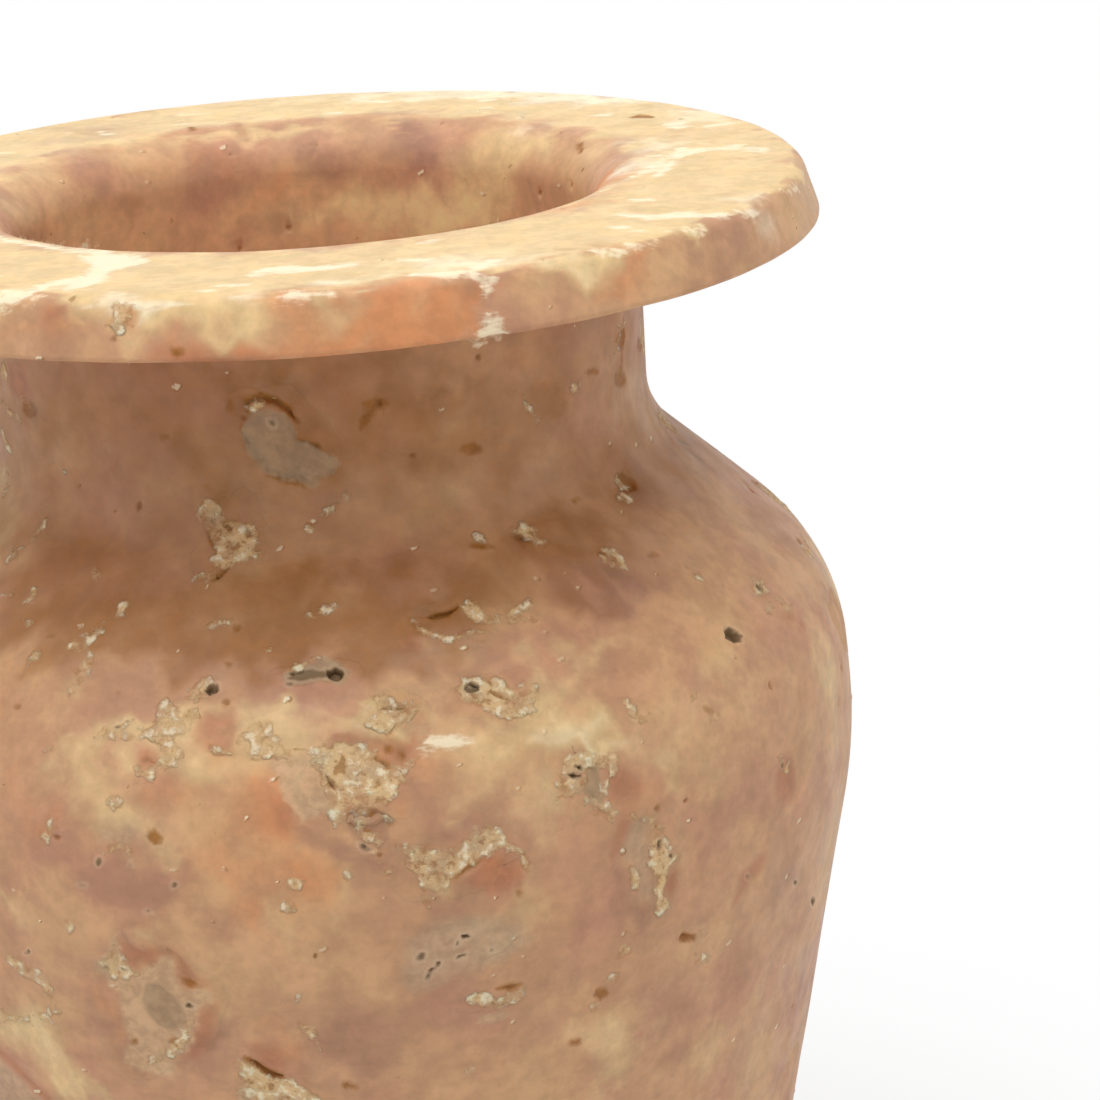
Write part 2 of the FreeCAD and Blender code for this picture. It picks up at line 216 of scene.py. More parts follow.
# Forms drawn in the photograph: what each is made of, how deep it is carved in millimetres
# (raised where negative) and its corners in pixels. A feature's forms are copied together.
WALL_FEATURES = {
    "grey clast on the neck": (
        ("grey", 0.16, shape(249, 407, 262, 406, 273, 409, 286, 411, 296, 424, 299, 437, 316, 441, 332, 450,
            338, 462, 334, 474, 320, 478, 311, 484, 300, 480, 292, 481, 276, 473, 265, 472, 252, 456,
            241, 440, 241, 424)),
        # Painted shadow: the umber strokes in carved crevices along the clast's edges
        ("umber", 0.3, stroke(4.5, 246, 410, 248, 399, 262, 395, 276, 399, 288, 409, 300, 421)),
        ("umber", 0.28, stroke(3.5, 294, 437, 306, 439, 318, 443, 324, 449)),
        ("umber", 0.25, stroke(3, 267, 475, 280, 477, 292, 482, 304, 485)),
        ("cream", 0, stroke(2.6, 248, 407, 256, 404, 265, 402)),
        ("pit", 0.25, oval(272, 422, 4, 2, 5)),
        ("umber", 0.1, oval(242, 428, 3, 3)),
        ("patina", 0, oval(262, 434, 12, 20, -20)),
        ("umber", 0.1, oval(291, 438, 2.5, 4)),
    ),
    "forked crust on the neck": (
        ("cream", 0.04, shape(196, 514, 203, 501, 213, 503, 222, 507, 227, 517, 238, 522, 246, 520,
            254, 524, 259, 535, 253, 546, 258, 554, 243, 561, 231, 566, 222, 571, 207, 583, 196, 578,
            212, 570, 213, 557, 218, 548, 212, 534, 204, 525)),
        ("umber", 0.4, oval(250, 533, 5.5, 6)),
        ("umber", 0.35, oval(229, 527, 6, 4, 15)),
        ("pit", 0.3, oval(213, 521, 4.5, 2.2, 20)),
        ("umber", 0.3, stroke(2.6, 208, 583, 217, 577, 229, 569)),
        ("umber", 0.2, stroke(1.8, 206, 528, 212, 537, 216, 548, 217, 556)),
        ("umber", 0.2, oval(222, 561, 3, 1.8)),
    ),
    "white fleck pair": (
        ("cream", -0.06, oval(332, 509, 5, 4.5, -30)),
        ("cream", -0.05, stroke(1.6, 336, 504, 342, 500, 346, 498)),
        ("cream", 0, oval(309, 529, 2.4, 4, 10)),
    ),
    "forked golden stain": (
        ("umber", 0.12, stroke(4.5, 366, 403, 376, 404, 387, 401)),
        ("umber", 0.12, stroke(4, 376, 405, 372, 414, 366, 422, 362, 430)),
    ),
    "golden stain": (("umber", 0.15, oval(473, 447, 11, 6.5, 5)),),
    "brown spot": (("umber", 0.1, oval(30, 410, 8, 9)),),
    "golden speck": (("umber", 0.1, oval(164, 439, 5, 4)),),
    "brown speck": (("umber", 0.15, oval(229, 408, 2.6, 5, 15)),),
    "olive patch on the neck": (
        ("patina", 0.12, shape(524, 400, 530, 386, 545, 379, 560, 384, 568, 398, 562, 415, 545, 424,
            530, 418)),
        ("cream", 0, stroke(1.2, 525, 398, 526, 408, 533, 418, 540, 424)),
    ),
    "olive pit": (
        ("umber", 0.3, oval(626, 484, 13, 8, 30)),
        ("cream", 0, stroke(1.5, 619, 480, 626, 485, 632, 487)),
        ("cream", -0.05, stroke(2, 617, 497, 624, 492, 628, 499)),
        ("umber", 0.2, oval(576, 500, 5, 2)),
    ),
    "ringed hole on the shoulder": (
        ("cream", -0.03, shape(513, 530, 523, 524, 536, 528, 540, 536, 553, 541, 541, 545, 531, 538,
            520, 534)),
        ("umber", 0.45, oval(522, 537, 8, 4.5, 8)),
        ("cream", -0.05, oval(479, 537, 4, 4)),
        ("umber", 0.1, oval(480, 546, 12, 4)),
    ),
    "pale crumbs on the shoulder": (
        ("cream", -0.05, stroke(3.2, 600, 547, 611, 550, 618, 559, 626, 568)),
        ("cream", -0.03, stroke(2, 600, 553, 608, 562, 616, 570)),
        ("umber", 0.35, oval(601, 553, 3.5, 4)),
        ("umber", 0.3, oval(613, 562, 2.6, 2)),
        ("umber", 0.1, oval(655, 556, 6, 2.4, 10)),
    ),
    "small ringed pit": (
        ("cream", -0.03, oval(760, 588, 6, 8, 10)),
        ("pit", 0.4, oval(760, 587, 3, 4)),
        ("cream", -0.05, stroke(2.2, 765, 602, 770, 605, 768, 612)),
        ("cream", -0.05, stroke(1.8, 780, 602, 787, 608, 794, 606)),
        ("red", 0.12, oval(789, 618, 5, 2.6)),
        ("red", 0.12, oval(801, 626, 4, 3)),
    ),
    "diagonal scratch": (("cream", 0.03, stroke(1.6, 686, 566, 694, 571, 704, 582)),),
    "grey specks at the edge": (
        ("grey", 0.05, stroke(3, 677, 440, 684, 444, 691, 447)),
        ("grey", 0.05, stroke(2, 688, 452, 698, 458, 706, 466)),
    ),
    "slotted cavity": (
        ("dusk", 0.12, shape(404, 614, 418, 606, 440, 604, 458, 606, 462, 618, 470, 634, 448, 641, 424, 638,
            410, 628)),
        ("umber", 0.5, stroke(4.2, 420, 617, 432, 619, 444, 615, 458, 608)),
        ("cream", -0.04, shape(460, 608, 467, 602, 478, 604, 483, 613, 493, 618, 504, 616, 500, 624,
            488, 626, 474, 625, 463, 619)),
        ("cream", -0.03, stroke(1.5, 412, 622, 420, 634, 434, 640, 456, 641, 480, 635, 502, 632)),
        ("cream", -0.04, stroke(2.4, 508, 612, 520, 606, 534, 603)),
        ("cream", -0.04, stroke(2.2, 510, 622, 521, 618, 532, 622)),
        ("cream", -0.04, oval(482, 643, 3.5, 2)),
        ("red", 0.05, oval(411, 648, 10, 7)),
    ),
    "grey patch with a hole": (
        ("grey", 0.1, shape(284, 676, 296, 669, 310, 665, 325, 661, 340, 662, 352, 668, 350, 678, 338, 684,
            318, 683, 301, 689, 290, 690, 285, 684)),
        ("pit", 0.9, oval(334, 675, 10, 7, 5)),
        # Painted shade: the shallow pit stroke darkens the patch
        ("pit", 0.14, stroke(5, 288, 681, 300, 678, 314, 675, 330, 673)),
        ("pit", 0.4, oval(294, 676, 5, 3, 10)),
        ("pit", 0.3, oval(290, 686, 3, 2)),
        ("cream", -0.03, stroke(1.6, 284, 674, 298, 669, 320, 658)),
    ),
    "small hole with crumbs": (
        ("cream", -0.06, shape(188, 697, 193, 689, 200, 687, 201, 679, 210, 677, 211, 683, 203, 690,
            205, 697, 196, 701)),
        ("pit", 0.6, oval(212, 690, 8, 5, -20)),
        ("umber", 0.1, oval(231, 666, 4, 3)),
    ),
    "pale vein": (("cream", -0.03, stroke(4, 94, 661, 84, 664, 77, 673, 77, 683, 68, 694)),),
    "pale fleck": (("cream", -0.08, shape(156, 714, 160, 706, 166, 703, 173, 708, 166, 711, 160, 716)),),
    "pitted pink fleck": (
        ("cream", -0.04, stroke(2.2, 104, 733, 116, 732, 124, 729, 132, 722)),
        ("pit", 0.25, oval(118, 728, 4, 2, -10)),
        ("pit", 0.2, oval(128, 722, 2.6, 1.6)),
    ),
    "long cream band": (
        ("cream", -0.02, shape(93, 737, 108, 735, 125, 739, 140, 733, 150, 731, 158, 722, 172, 718,
            186, 722, 197, 716, 193, 727, 184, 733, 160, 736, 140, 739, 118, 741, 100, 741)),
        ("red", 0.02, shape(203, 716, 216, 713, 236, 712, 240, 740, 232, 753, 218, 748, 206, 748,
            198, 738)),
        ("cream", 0, stroke(1.6, 212, 747, 224, 750, 232, 755)),
    ),
    "fleck with a red pit": (
        ("cream", -0.06, shape(162, 750, 170, 744, 181, 750, 184, 756, 172, 757)),
        ("cream", -0.08, oval(167, 762, 8, 3, 5)),
        ("cream", -0.04, stroke(3, 142, 770, 152, 772, 156, 778)),
        # Painted shadow: the red patch beside the pale fleck
        ("red", 0.3, oval(150, 762, 7, 5)),
    ),
    "curled cream crust": (
        ("cream", 0.02, shape(243, 734, 250, 725, 258, 721, 270, 722, 274, 730, 268, 740, 278, 740,
            288, 748, 285, 758, 270, 757, 252, 758, 243, 751, 254, 742)),
        ("grey", 0.25, oval(263, 729, 2.6, 5, 10)),
    ),
    "large cream crust": (
        ("beige", 0.03, shape(272, 745, 286, 757, 300, 760, 316, 760, 322, 775, 334, 799, 338, 812,
            330, 814, 318, 818, 303, 824, 297, 818, 291, 806, 284, 792, 277, 780, 270, 765)),
        ("red", 0.08, shape(318, 738, 335, 733, 352, 735, 370, 734, 385, 742, 400, 739, 418, 732, 420, 745,
            411, 758, 402, 766, 390, 761, 378, 751, 360, 746, 330, 742)),
        ("cream", 0.03, shape(313, 748, 328, 742, 350, 745, 366, 748, 378, 758, 385, 765, 395, 771,
            398, 778, 404, 784, 396, 790, 388, 800, 377, 810, 366, 811, 352, 803, 345, 806, 340, 820,
            336, 814, 338, 805, 328, 790, 320, 778, 313, 762)),
        ("cream", -0.05, stroke(1.6, 418, 757, 408, 768, 400, 780, 392, 796)),
        ("grey", 0.5, stroke(3.2, 319, 771, 326, 780, 334, 790, 340, 800)),
        ("umber", 0.3, stroke(2, 373, 758, 383, 764, 390, 771)),
        ("umber", 0.3, oval(400, 756, 4, 2.4)),
        ("umber", 0.2, oval(388, 750, 3, 2)),
        ("pit", 0.12, oval(356, 782, 3, 2)),
        ("red", 0, oval(284, 816, 10, 15, -15)),
    ),
    "cream crust with a slot": (
        ("cream", -0.02, shape(374, 702, 386, 699, 397, 705, 410, 706, 421, 708, 414, 719, 398, 728,
            390, 733, 376, 730, 367, 727, 380, 718, 378, 708)),
        ("grey", 0.4, stroke(3, 381, 713, 392, 710, 404, 710)),
    ),
    "white lens": (("chip", -0.06, stroke(5.5, 416, 747, 432, 745, 450, 743, 470, 744)),),
    "crumbling hollow": (
        ("dusk", 0.3, shape(346, 808, 362, 800, 376, 808, 392, 814, 394, 830, 390, 850, 374, 852, 356, 842,
            347, 826)),
        ("cream", -0.1, shape(357, 818, 366, 815, 371, 822, 368, 830, 359, 828)),
        ("cream", -0.12, shape(362, 833, 372, 828, 380, 832, 384, 842, 374, 843, 366, 841)),
        ("cream", -0.06, stroke(2, 374, 820, 383, 816, 390, 822)),
        ("dusk", 0.15, shape(380, 838, 396, 840, 404, 850, 396, 864, 382, 862, 376, 850)),
        ("umber", 0.4, oval(375, 813, 5.5, 2.2, -8)),
        ("pit", 0.5, oval(366, 847, 8, 3.2, 25)),
        ("umber", 0.4, oval(369, 829, 3, 2.4)),
        ("cream", -0.08, oval(404, 843, 4.5, 3.6, 25)),
        ("cream", -0.04, stroke(1.8, 372, 850, 379, 859, 382, 866)),
        ("cream", -0.04, oval(386, 873, 5, 3, -10)),
    ),
    "lobed cream band": (
        ("cream", 0.04, shape(402, 851, 418, 846, 440, 847, 455, 846, 463, 838, 470, 834, 474, 825,
            490, 825, 500, 832, 508, 845, 496, 850, 480, 857, 465, 865, 456, 876, 449, 886, 437, 890,
            425, 888, 412, 870)),
        ("cream", -0.02, stroke(2.6, 504, 842, 515, 852, 524, 861, 531, 868)),
        ("umber", 0.3, stroke(2.8, 484, 842, 492, 842, 500, 839)),
        ("red", 0.03, shape(458, 884, 474, 872, 490, 858, 506, 850, 518, 866, 525, 888, 508, 894,
            480, 892)),
        ("umber", 0.12, oval(522, 895, 4, 2.4, 30)),
        ("umber", 0.15, stroke(1.5, 456, 876, 468, 866, 482, 858)),
    ),
    "crust with a round hole": (
        ("cream", -0.03, shape(457, 690, 461, 681, 474, 675, 484, 681, 492, 683, 502, 683, 508, 692,
            520, 690, 534, 690, 540, 697, 532, 704, 534, 711, 510, 718, 495, 714, 480, 709, 470, 704,
            460, 699)),
        ("pit", 0.9, oval(470, 689, 7.5, 7)),
        ("grey", 0.5, stroke(3.2, 486, 693, 497, 696, 506, 702)),
        ("red", 0.08, oval(516, 702, 11, 6, 10)),
    ),
    "pitted crust and grey core": (
        ("cream", -0.05, shape(556, 787, 559, 778, 570, 781, 581, 780, 581, 790, 571, 795, 560, 796)),
        ("cream", 0, shape(562, 775, 563, 765, 574, 759, 583, 757, 592, 750, 604, 752, 616, 755, 620, 765,
            612, 777, 606, 768, 596, 762, 584, 766, 575, 774)),
        ("grey", 0.12, shape(584, 764, 594, 766, 598, 780, 600, 796, 604, 806, 594, 803, 583, 798,
            582, 780)),
        ("pit", 0.5, oval(570, 776, 9, 2.4, 10)),
        ("pit", 0.35, oval(575, 768, 5, 3)),
        ("red", 0.05, shape(606, 768, 620, 768, 634, 772, 640, 790, 630, 808, 616, 806, 606, 790)),
        ("cream", -0.03, stroke(3, 586, 802, 600, 806, 612, 814, 614, 826)),
        ("cream", -0.03, stroke(1.6, 603, 782, 602, 795, 612, 802)),
    ),
    "tall grey clast": (
        ("red", 0.05, shape(620, 820, 634, 818, 628, 840, 622, 852, 612, 858, 614, 838)),
        ("sage", 0.12, shape(633, 825, 643, 818, 652, 832, 651, 860, 652, 885, 650, 902, 640, 898, 634, 880,
            630, 864, 622, 850, 628, 840)),
        ("cream", -0.04, shape(651, 832, 658, 830, 664, 844, 673, 855, 664, 863, 661, 877, 660, 893,
            672, 901, 666, 909, 657, 912, 651, 901, 653, 880, 649, 860)),
        ("cream", -0.03, shape(627, 876, 631, 866, 638, 878, 635, 890, 631, 886)),
        ("cream", -0.02, stroke(1.5, 634, 817, 648, 818, 660, 830, 668, 843)),
        ("pit", 0.4, oval(659, 842, 2.6, 5, 20)),
        ("pit", 0.3, oval(668, 853, 3.5, 3)),
        ("red", 0.12, oval(668, 881, 8, 13, 12)),
    ),
    "olive hole": (("pit", 0.8, shape(724, 629, 733, 627, 743, 634, 743, 642, 733, 642, 726, 638)),),
    "flecks above the belly": (
        ("cream", -0.03, stroke(2.4, 622, 702, 629, 709, 634, 716)),
        ("cream", -0.03, stroke(2.6, 640, 722, 648, 712, 653, 722)),
        ("cream", -0.03, oval(692, 695, 3, 5)),
        ("umber", 0.1, oval(708, 711, 5, 2, 15)),
        ("cream", -0.02, oval(716, 716, 2.4, 3)),
    ),
    "upright pink ring": (
        ("red", 0.03, oval(787, 780, 11, 26, 3)),
        ("cream", -0.04, stroke(1.8, 778, 753, 783, 760, 782, 770)),
        ("cream", -0.04, oval(787, 771, 3, 5)),
        ("pit", 0.3, oval(783, 765, 1.8, 4, 10)),
    ),
    "streak with pits": (
        ("red", 0.03, stroke(5, 735, 905, 744, 885, 756, 866, 764, 856)),
        ("pit", 0.2, oval(749, 877, 2.5, 3)),
        ("pit", 0.2, oval(795, 883, 2.5, 3)),
        ("pit", 0.25, oval(813, 901, 2.2, 5, 10)),
    ),
    "speckled green patch": (
        ("sage", 0.03, shape(404, 938, 430, 924, 470, 916, 520, 918, 527, 932, 520, 950, 505, 962, 480, 966,
            456, 975, 440, 988, 415, 990, 404, 975, 409, 955)),
        ("pit", 0.35, oval(465, 934, 5.5, 3)),
        ("pit", 0.35, oval(462, 954, 5, 2.4, -30)),
        ("pit", 0.35, oval(432, 968, 5, 2.4, -35)),
        ("pit", 0.3, oval(438, 962, 3, 2.4)),
        ("pit", 0.12, oval(420, 955, 4, 5)),
        ("pit", 0.2, oval(428, 975, 3.5, 2, -40)),
        ("pit", 0.2, oval(491, 946, 3.5, 2, 10)),
        ("pit", 0.1, oval(457, 942, 3, 3)),
    ),
    "pink bar": (
        ("cream", -0.05, shape(468, 999, 478, 996, 488, 993, 500, 996, 509, 993, 520, 989, 521, 1000,
            508, 1005, 490, 1006, 478, 1003)),
        ("umber", 0.15, stroke(2.8, 496, 988, 510, 987, 520, 984)),
        ("beige", 0, oval(494, 1018, 15, 5, -12)),
    ),
    "brown pit and crumbs": (
        ("umber", 0.4, oval(687, 939, 10, 5.5, -4)),
        ("cream", -0.04, stroke(1.8, 698, 931, 704, 936, 702, 941)),
        ("cream", -0.03, oval(702, 959, 8, 5, 15)),
        ("cream", -0.05, stroke(2, 621, 952, 624, 945, 631, 949)),
        ("umber", 0.05, oval(600, 992, 7, 5, -20)),
        ("cream", -0.03, oval(612, 977, 3, 2.4)),
        ("cream", -0.04, oval(592, 1007, 3, 4)),
        ("umber", 0.08, oval(575, 1043, 4, 2.2)),
    ),
    "mauve patch": (
        ("dusk", 0, shape(688, 1024, 692, 1042, 696, 1052, 685, 1063, 662, 1078, 648, 1074, 660, 1055,
            672, 1042, 682, 1032)),
    ),
    "large beige clast": (
        # Painted shadow: the red shapes along the clast's upper and right edges, and the umber stroke at its
        # upper right
        ("red", 0.1, shape(119, 943, 130, 946, 148, 948, 168, 945, 182, 958, 207, 982, 196, 986, 179, 977,
            175, 960, 160, 954, 147, 962, 132, 967, 122, 956)),
        ("red", 0.03, shape(200, 1012, 213, 1002, 214, 1030, 202, 1056, 185, 1062, 192, 1044)),
        ("beige", 0.05, shape(114, 937, 119, 948, 123, 958, 131, 967, 140, 968, 147, 963, 155, 961,
            161, 955, 170, 958, 174, 965, 175, 976, 179, 985, 190, 989, 201, 985, 211, 992, 212, 1000,
            203, 1004, 199, 1013, 195, 1026, 193, 1040, 186, 1050, 179, 1058, 172, 1062, 179, 1074,
            172, 1080, 159, 1078, 140, 1070, 130, 1060, 125, 1048, 130, 1038, 124, 1025, 121, 1010,
            122, 995, 112, 985, 100, 978, 93, 966, 103, 962, 107, 950)),
        ("cream", 0, shape(112, 946, 118, 951, 123, 960, 131, 969, 142, 972, 132, 975, 118, 977, 106, 972,
            100, 967, 108, 958)),
        ("cream", 0, stroke(3, 152, 1062, 164, 1057, 176, 1048, 186, 1036, 190, 1020)),
        ("grey", 0.08, shape(145, 977, 158, 979, 172, 990, 184, 1006, 187, 1021, 176, 1028, 160, 1022,
            150, 1010, 144, 994)),
        ("pit", 0.3, oval(190, 1004, 4.4, 2.8, 8)),
        ("pit", 0.15, oval(125, 969, 3, 2.4)),
        ("pit", 0.12, oval(106, 969, 3, 2)),
        ("umber", 0.12, oval(134, 1039, 3, 2.4)),
        ("umber", 0.08, oval(176, 1040, 2.6, 2.4)),
        ("umber", 0.2, stroke(2, 178, 975, 190, 981, 204, 985)),
    ),
    "speckled grey field": (
        ("dusk", 0.02, shape(78, 866, 100, 856, 130, 862, 160, 866, 182, 882, 182, 900, 150, 912, 116, 908,
            90, 896, 76, 884)),
        ("pit", 0.3, oval(174, 884, 3.4, 3.2)),
        ("pit", 0.15, oval(83, 884, 5, 2)),
        ("pit", 0.15, oval(130, 863, 2.4, 2)),
        ("pit", 0.1, oval(99, 862, 2.4, 4.5)),
        ("pit", 0.1, oval(148, 911, 3.5, 1.6)),
        ("cream", -0.03, stroke(1.5, 104, 852, 118, 850, 134, 855)),
        ("umber", 0.05, oval(156, 836, 6, 6)),
        ("sage", 0, oval(116, 832, 22, 11, 5)),
    ),
    "curled cream fleck": (
        ("cream", -0.05, stroke(2.8, 54, 821, 46, 824, 49, 830, 43, 836, 46, 843)),
        ("cream", -0.05, oval(49, 746, 4, 2, -20)),
        ("cream", -0.04, oval(115, 801, 5, 4, -30)),
    ),
    "lower cream crust": (
        ("cream", 0.03, shape(240, 1064, 250, 1066, 262, 1071, 272, 1077, 286, 1077, 300, 1086, 320, 1099,
            318, 1120, 280, 1130, 246, 1120, 236, 1100, 238, 1085, 245, 1076)),
        # Painted shadow: the umber stroke in the crevice along the crust's top
        ("umber", 0.4, stroke(4, 247, 1060, 258, 1064, 270, 1070, 282, 1073)),
        ("red", 0.05, oval(268, 1056, 18, 8, 22)),
        ("umber", 0.15, oval(350, 1086, 8, 3, 10)),
    ),
    "cream vein": (
        ("cream", -0.03, stroke(4.2, 7, 953, 15, 963, 28, 971, 41, 977, 48, 986, 50, 996)),
        ("cream", -0.05, oval(60, 1010, 2.6, 4, 20)),
        ("pit", 0.15, oval(25, 951, 4, 2)),
        ("cream", -0.03, oval(68, 926, 4, 3)),
    ),
    "dark seam at the lower left": (
        ("red", 0.1, stroke(2.6, -12, 1040, 2, 1055, 18, 1071, 36, 1088, 56, 1104, 70, 1118)),
        ("sage", 0.02, shape(-20, 1050, 0, 1060, 18, 1076, 36, 1093, 52, 1110, 10, 1130, -30, 1120)),
    ),
    "crumbs on the mauve belly": (
        ("cream", -0.04, stroke(1.8, 300, 994, 300, 1003)),
        ("cream", -0.03, stroke(2.4, 304, 1025, 310, 1030, 313, 1040)),
        ("cream", -0.04, oval(317, 1047, 3, 3)),
        ("cream", -0.04, oval(346, 871, 3, 4)),
        ("cream", -0.03, oval(293, 886, 3.5, 3)),
        ("cream", -0.03, oval(289, 908, 3, 3)),
        ("cream", -0.04, oval(426, 901, 4, 3)),
        ("cream", -0.03, oval(469, 1069, 3.5, 3)),
    ),
    "scratches at the neck's left": (
        ("cream", 0.02, stroke(1.6, 0, 398, 10, 410, 22, 424)),
        ("cream", 0.02, stroke(1.4, 2, 428, 6, 442, 12, 452)),
        ("cream", 0.02, stroke(1.4, 5, 470, 8, 485, 3, 498)),
        ("cream", -0.03, oval(68, 470, 3.5, 2.6)),
        ("cream", -0.03, stroke(1.8, 102, 444, 108, 453)),
        ("red", 0.05, oval(116, 465, 4, 10, 5)),
    ),
    "flecks at the shoulder's left": (
        ("cream", -0.06, stroke(2.6, 8, 562, 14, 553, 20, 549)),
        ("cream", -0.05, stroke(2.4, 0, 598, 8, 596, 15, 593)),
        ("cream", -0.04, stroke(2, 28, 600, 33, 594, 35, 588)),
        ("cream", -0.05, stroke(2.2, 24, 630, 29, 625, 34, 622)),
        ("cream", -0.04, stroke(1.8, 62, 652, 72, 645, 84, 640)),
        ("cream", -0.04, stroke(1.6, 88, 642, 97, 634, 105, 628)),
        ("cream", -0.05, stroke(1.8, 120, 614, 124, 607, 129, 602)),
        ("cream", -0.05, stroke(2, 32, 662, 38, 657, 42, 653)),
        ("cream", -0.04, stroke(1.8, 34, 536, 44, 525, 52, 512)),
        ("cream", -0.04, stroke(2.2, 206, 624, 220, 621, 233, 619)),
        ("umber", 0.1, oval(236, 627, 4, 3)),
        ("cream", -0.04, stroke(1.8, 261, 657, 268, 652, 273, 648)),
        ("cream", -0.03, stroke(1.8, 307, 616, 322, 608, 340, 602)),
        ("cream", -0.03, oval(97, 574, 6, 2.4, -30)),
    ),
    "streaks on the neck's right": (
        ("cream", 0.02, stroke(1.6, 610, 362, 618, 340, 626, 320)),
        ("cream", 0.02, stroke(1.4, 640, 318, 643, 340, 646, 366)),
        ("umber", 0.12, oval(622, 338, 4, 9, 10)),
        ("umber", 0.12, oval(621, 378, 6, 8)),
        ("umber", 0.08, oval(592, 372, 6, 5)),
        ("umber", 0.1, oval(640, 345, 3, 6)),
        ("cream", -0.03, oval(576, 386, 3, 5)),
    ),
}

RIM_FEATURES = {
    "large white chip": (
        ("chip", 0.12, shape(80, 254, 96, 251, 112, 250, 130, 253, 140, 260, 150, 262, 130, 266, 112, 270,
            104, 275, 100, 281, 82, 287, 60, 291, 64, 284, 50, 286, 40, 291, 38, 284, 60, 280, 78, 276,
            88, 268, 90, 262)),
        ("chip", 0.1, shape(0, 290, 15, 288, 30, 290, 32, 297, 20, 302, 10, 308, 5, 302, -12, 300)),
        ("chip", 0.03, stroke(1.6, -10, 236, 12, 240, 40, 246, 80, 251)),
    ),
    "cream crumb on the edge": (
        ("cream", -0.05, shape(112, 306, 124, 303, 137, 305, 133, 315, 129, 324, 120, 333, 109, 327,
            118, 320, 122, 312)),
        # Painted glow of light through the rim's edge
        ("glow", 0, oval(126, 316, 22, 16)),
    ),
    "lens streaks": (
        ("chip", 0.03, stroke(3, 250, 276, 268, 270, 300, 268, 330, 266, 356, 264)),
        ("chip", 0.05, shape(278, 302, 288, 294, 308, 295, 330, 294, 337, 299, 318, 303, 300, 303,
            284, 308)),
        ("chip", 0.02, stroke(1.2, 214, 286, 226, 284, 242, 285)),
    ),
    "ragged chip": (
        ("chip", 0.03, stroke(2.4, 414, 275, 440, 273, 466, 271, 482, 264, 500, 259)),
        ("chip", 0.22, shape(466, 272, 478, 278, 498, 280, 492, 288, 488, 294, 482, 292, 478, 285,
            470, 279)),
        ("dusk", 0.1, shape(455, 290, 468, 280, 480, 290, 498, 296, 496, 310, 476, 322, 458, 312)),
        ("chip", 0.12, shape(476, 339, 480, 329, 490, 322, 500, 320, 498, 337)),
    ),
    "long lens streaks": (
        ("chip", 0.03, stroke(2.6, 618, 214, 650, 216, 690, 214, 715, 216, 736, 212)),
        ("chip", 0.03, stroke(3.2, 738, 213, 750, 214, 758, 215)),
        ("chip", 0.02, stroke(1.4, 602, 227, 622, 228, 644, 230)),
        ("chip", 0.02, stroke(1.6, 668, 231, 684, 229, 702, 227)),
        ("chip", 0.02, stroke(1.8, 592, 250, 604, 252, 618, 253)),
        ("chip", 0.02, stroke(1.2, 628, 244, 642, 246, 656, 244)),
    ),
    "far streaks": (
        ("chip", 0.03, stroke(1.6, 648, 157, 664, 155, 678, 154)),
        ("chip", 0.05, shape(667, 128, 668, 123, 684, 121, 685, 128, 675, 130)),
        ("chip", 0.03, stroke(1.6, 700, 128, 716, 125, 740, 122)),
        ("umber", 0.25, stroke(1.6, 631, 118, 640, 116, 652, 118)),
    ),
    "pale dabs by the bore": (
        ("chip", 0.02, stroke(1.6, 392, 260, 420, 260, 440, 259)),
        ("chip", 0.02, stroke(1.6, 418, 243, 430, 242, 442, 239)),
        ("chip", 0.02, stroke(1.4, 630, 200, 646, 199, 656, 201)),
        ("chip", 0.02, stroke(1.6, 784, 190, 792, 188, 800, 191)),
    ),
    "pit above the arris": (
        ("umber", 0.3, stroke(2.4, 168, 351, 176, 353, 182, 352)),
        ("red", 0.02, stroke(5, 150, 352, 180, 356, 230, 358, 270, 356)),
    ),
    "brown streak on the edge": (("red", 0.02, stroke(3.4, 45, 328, 54, 315, 64, 306, 76, 300)),),
}

BORE_FEATURES = {
    "slit in the bore": (
        ("umber", 0.2, oval(580, 148, 2.4, 5, -20)),
        ("patina", 0.02, oval(574, 144, 9, 10)),
    ),
    "speck on the lip": (("umber", 0.15, oval(192, 129, 3, 2)),),
    "smudge on the lip": (("red", 0.02, shape(228, 124, 236, 122, 246, 132, 248, 141, 238, 139)),),
}

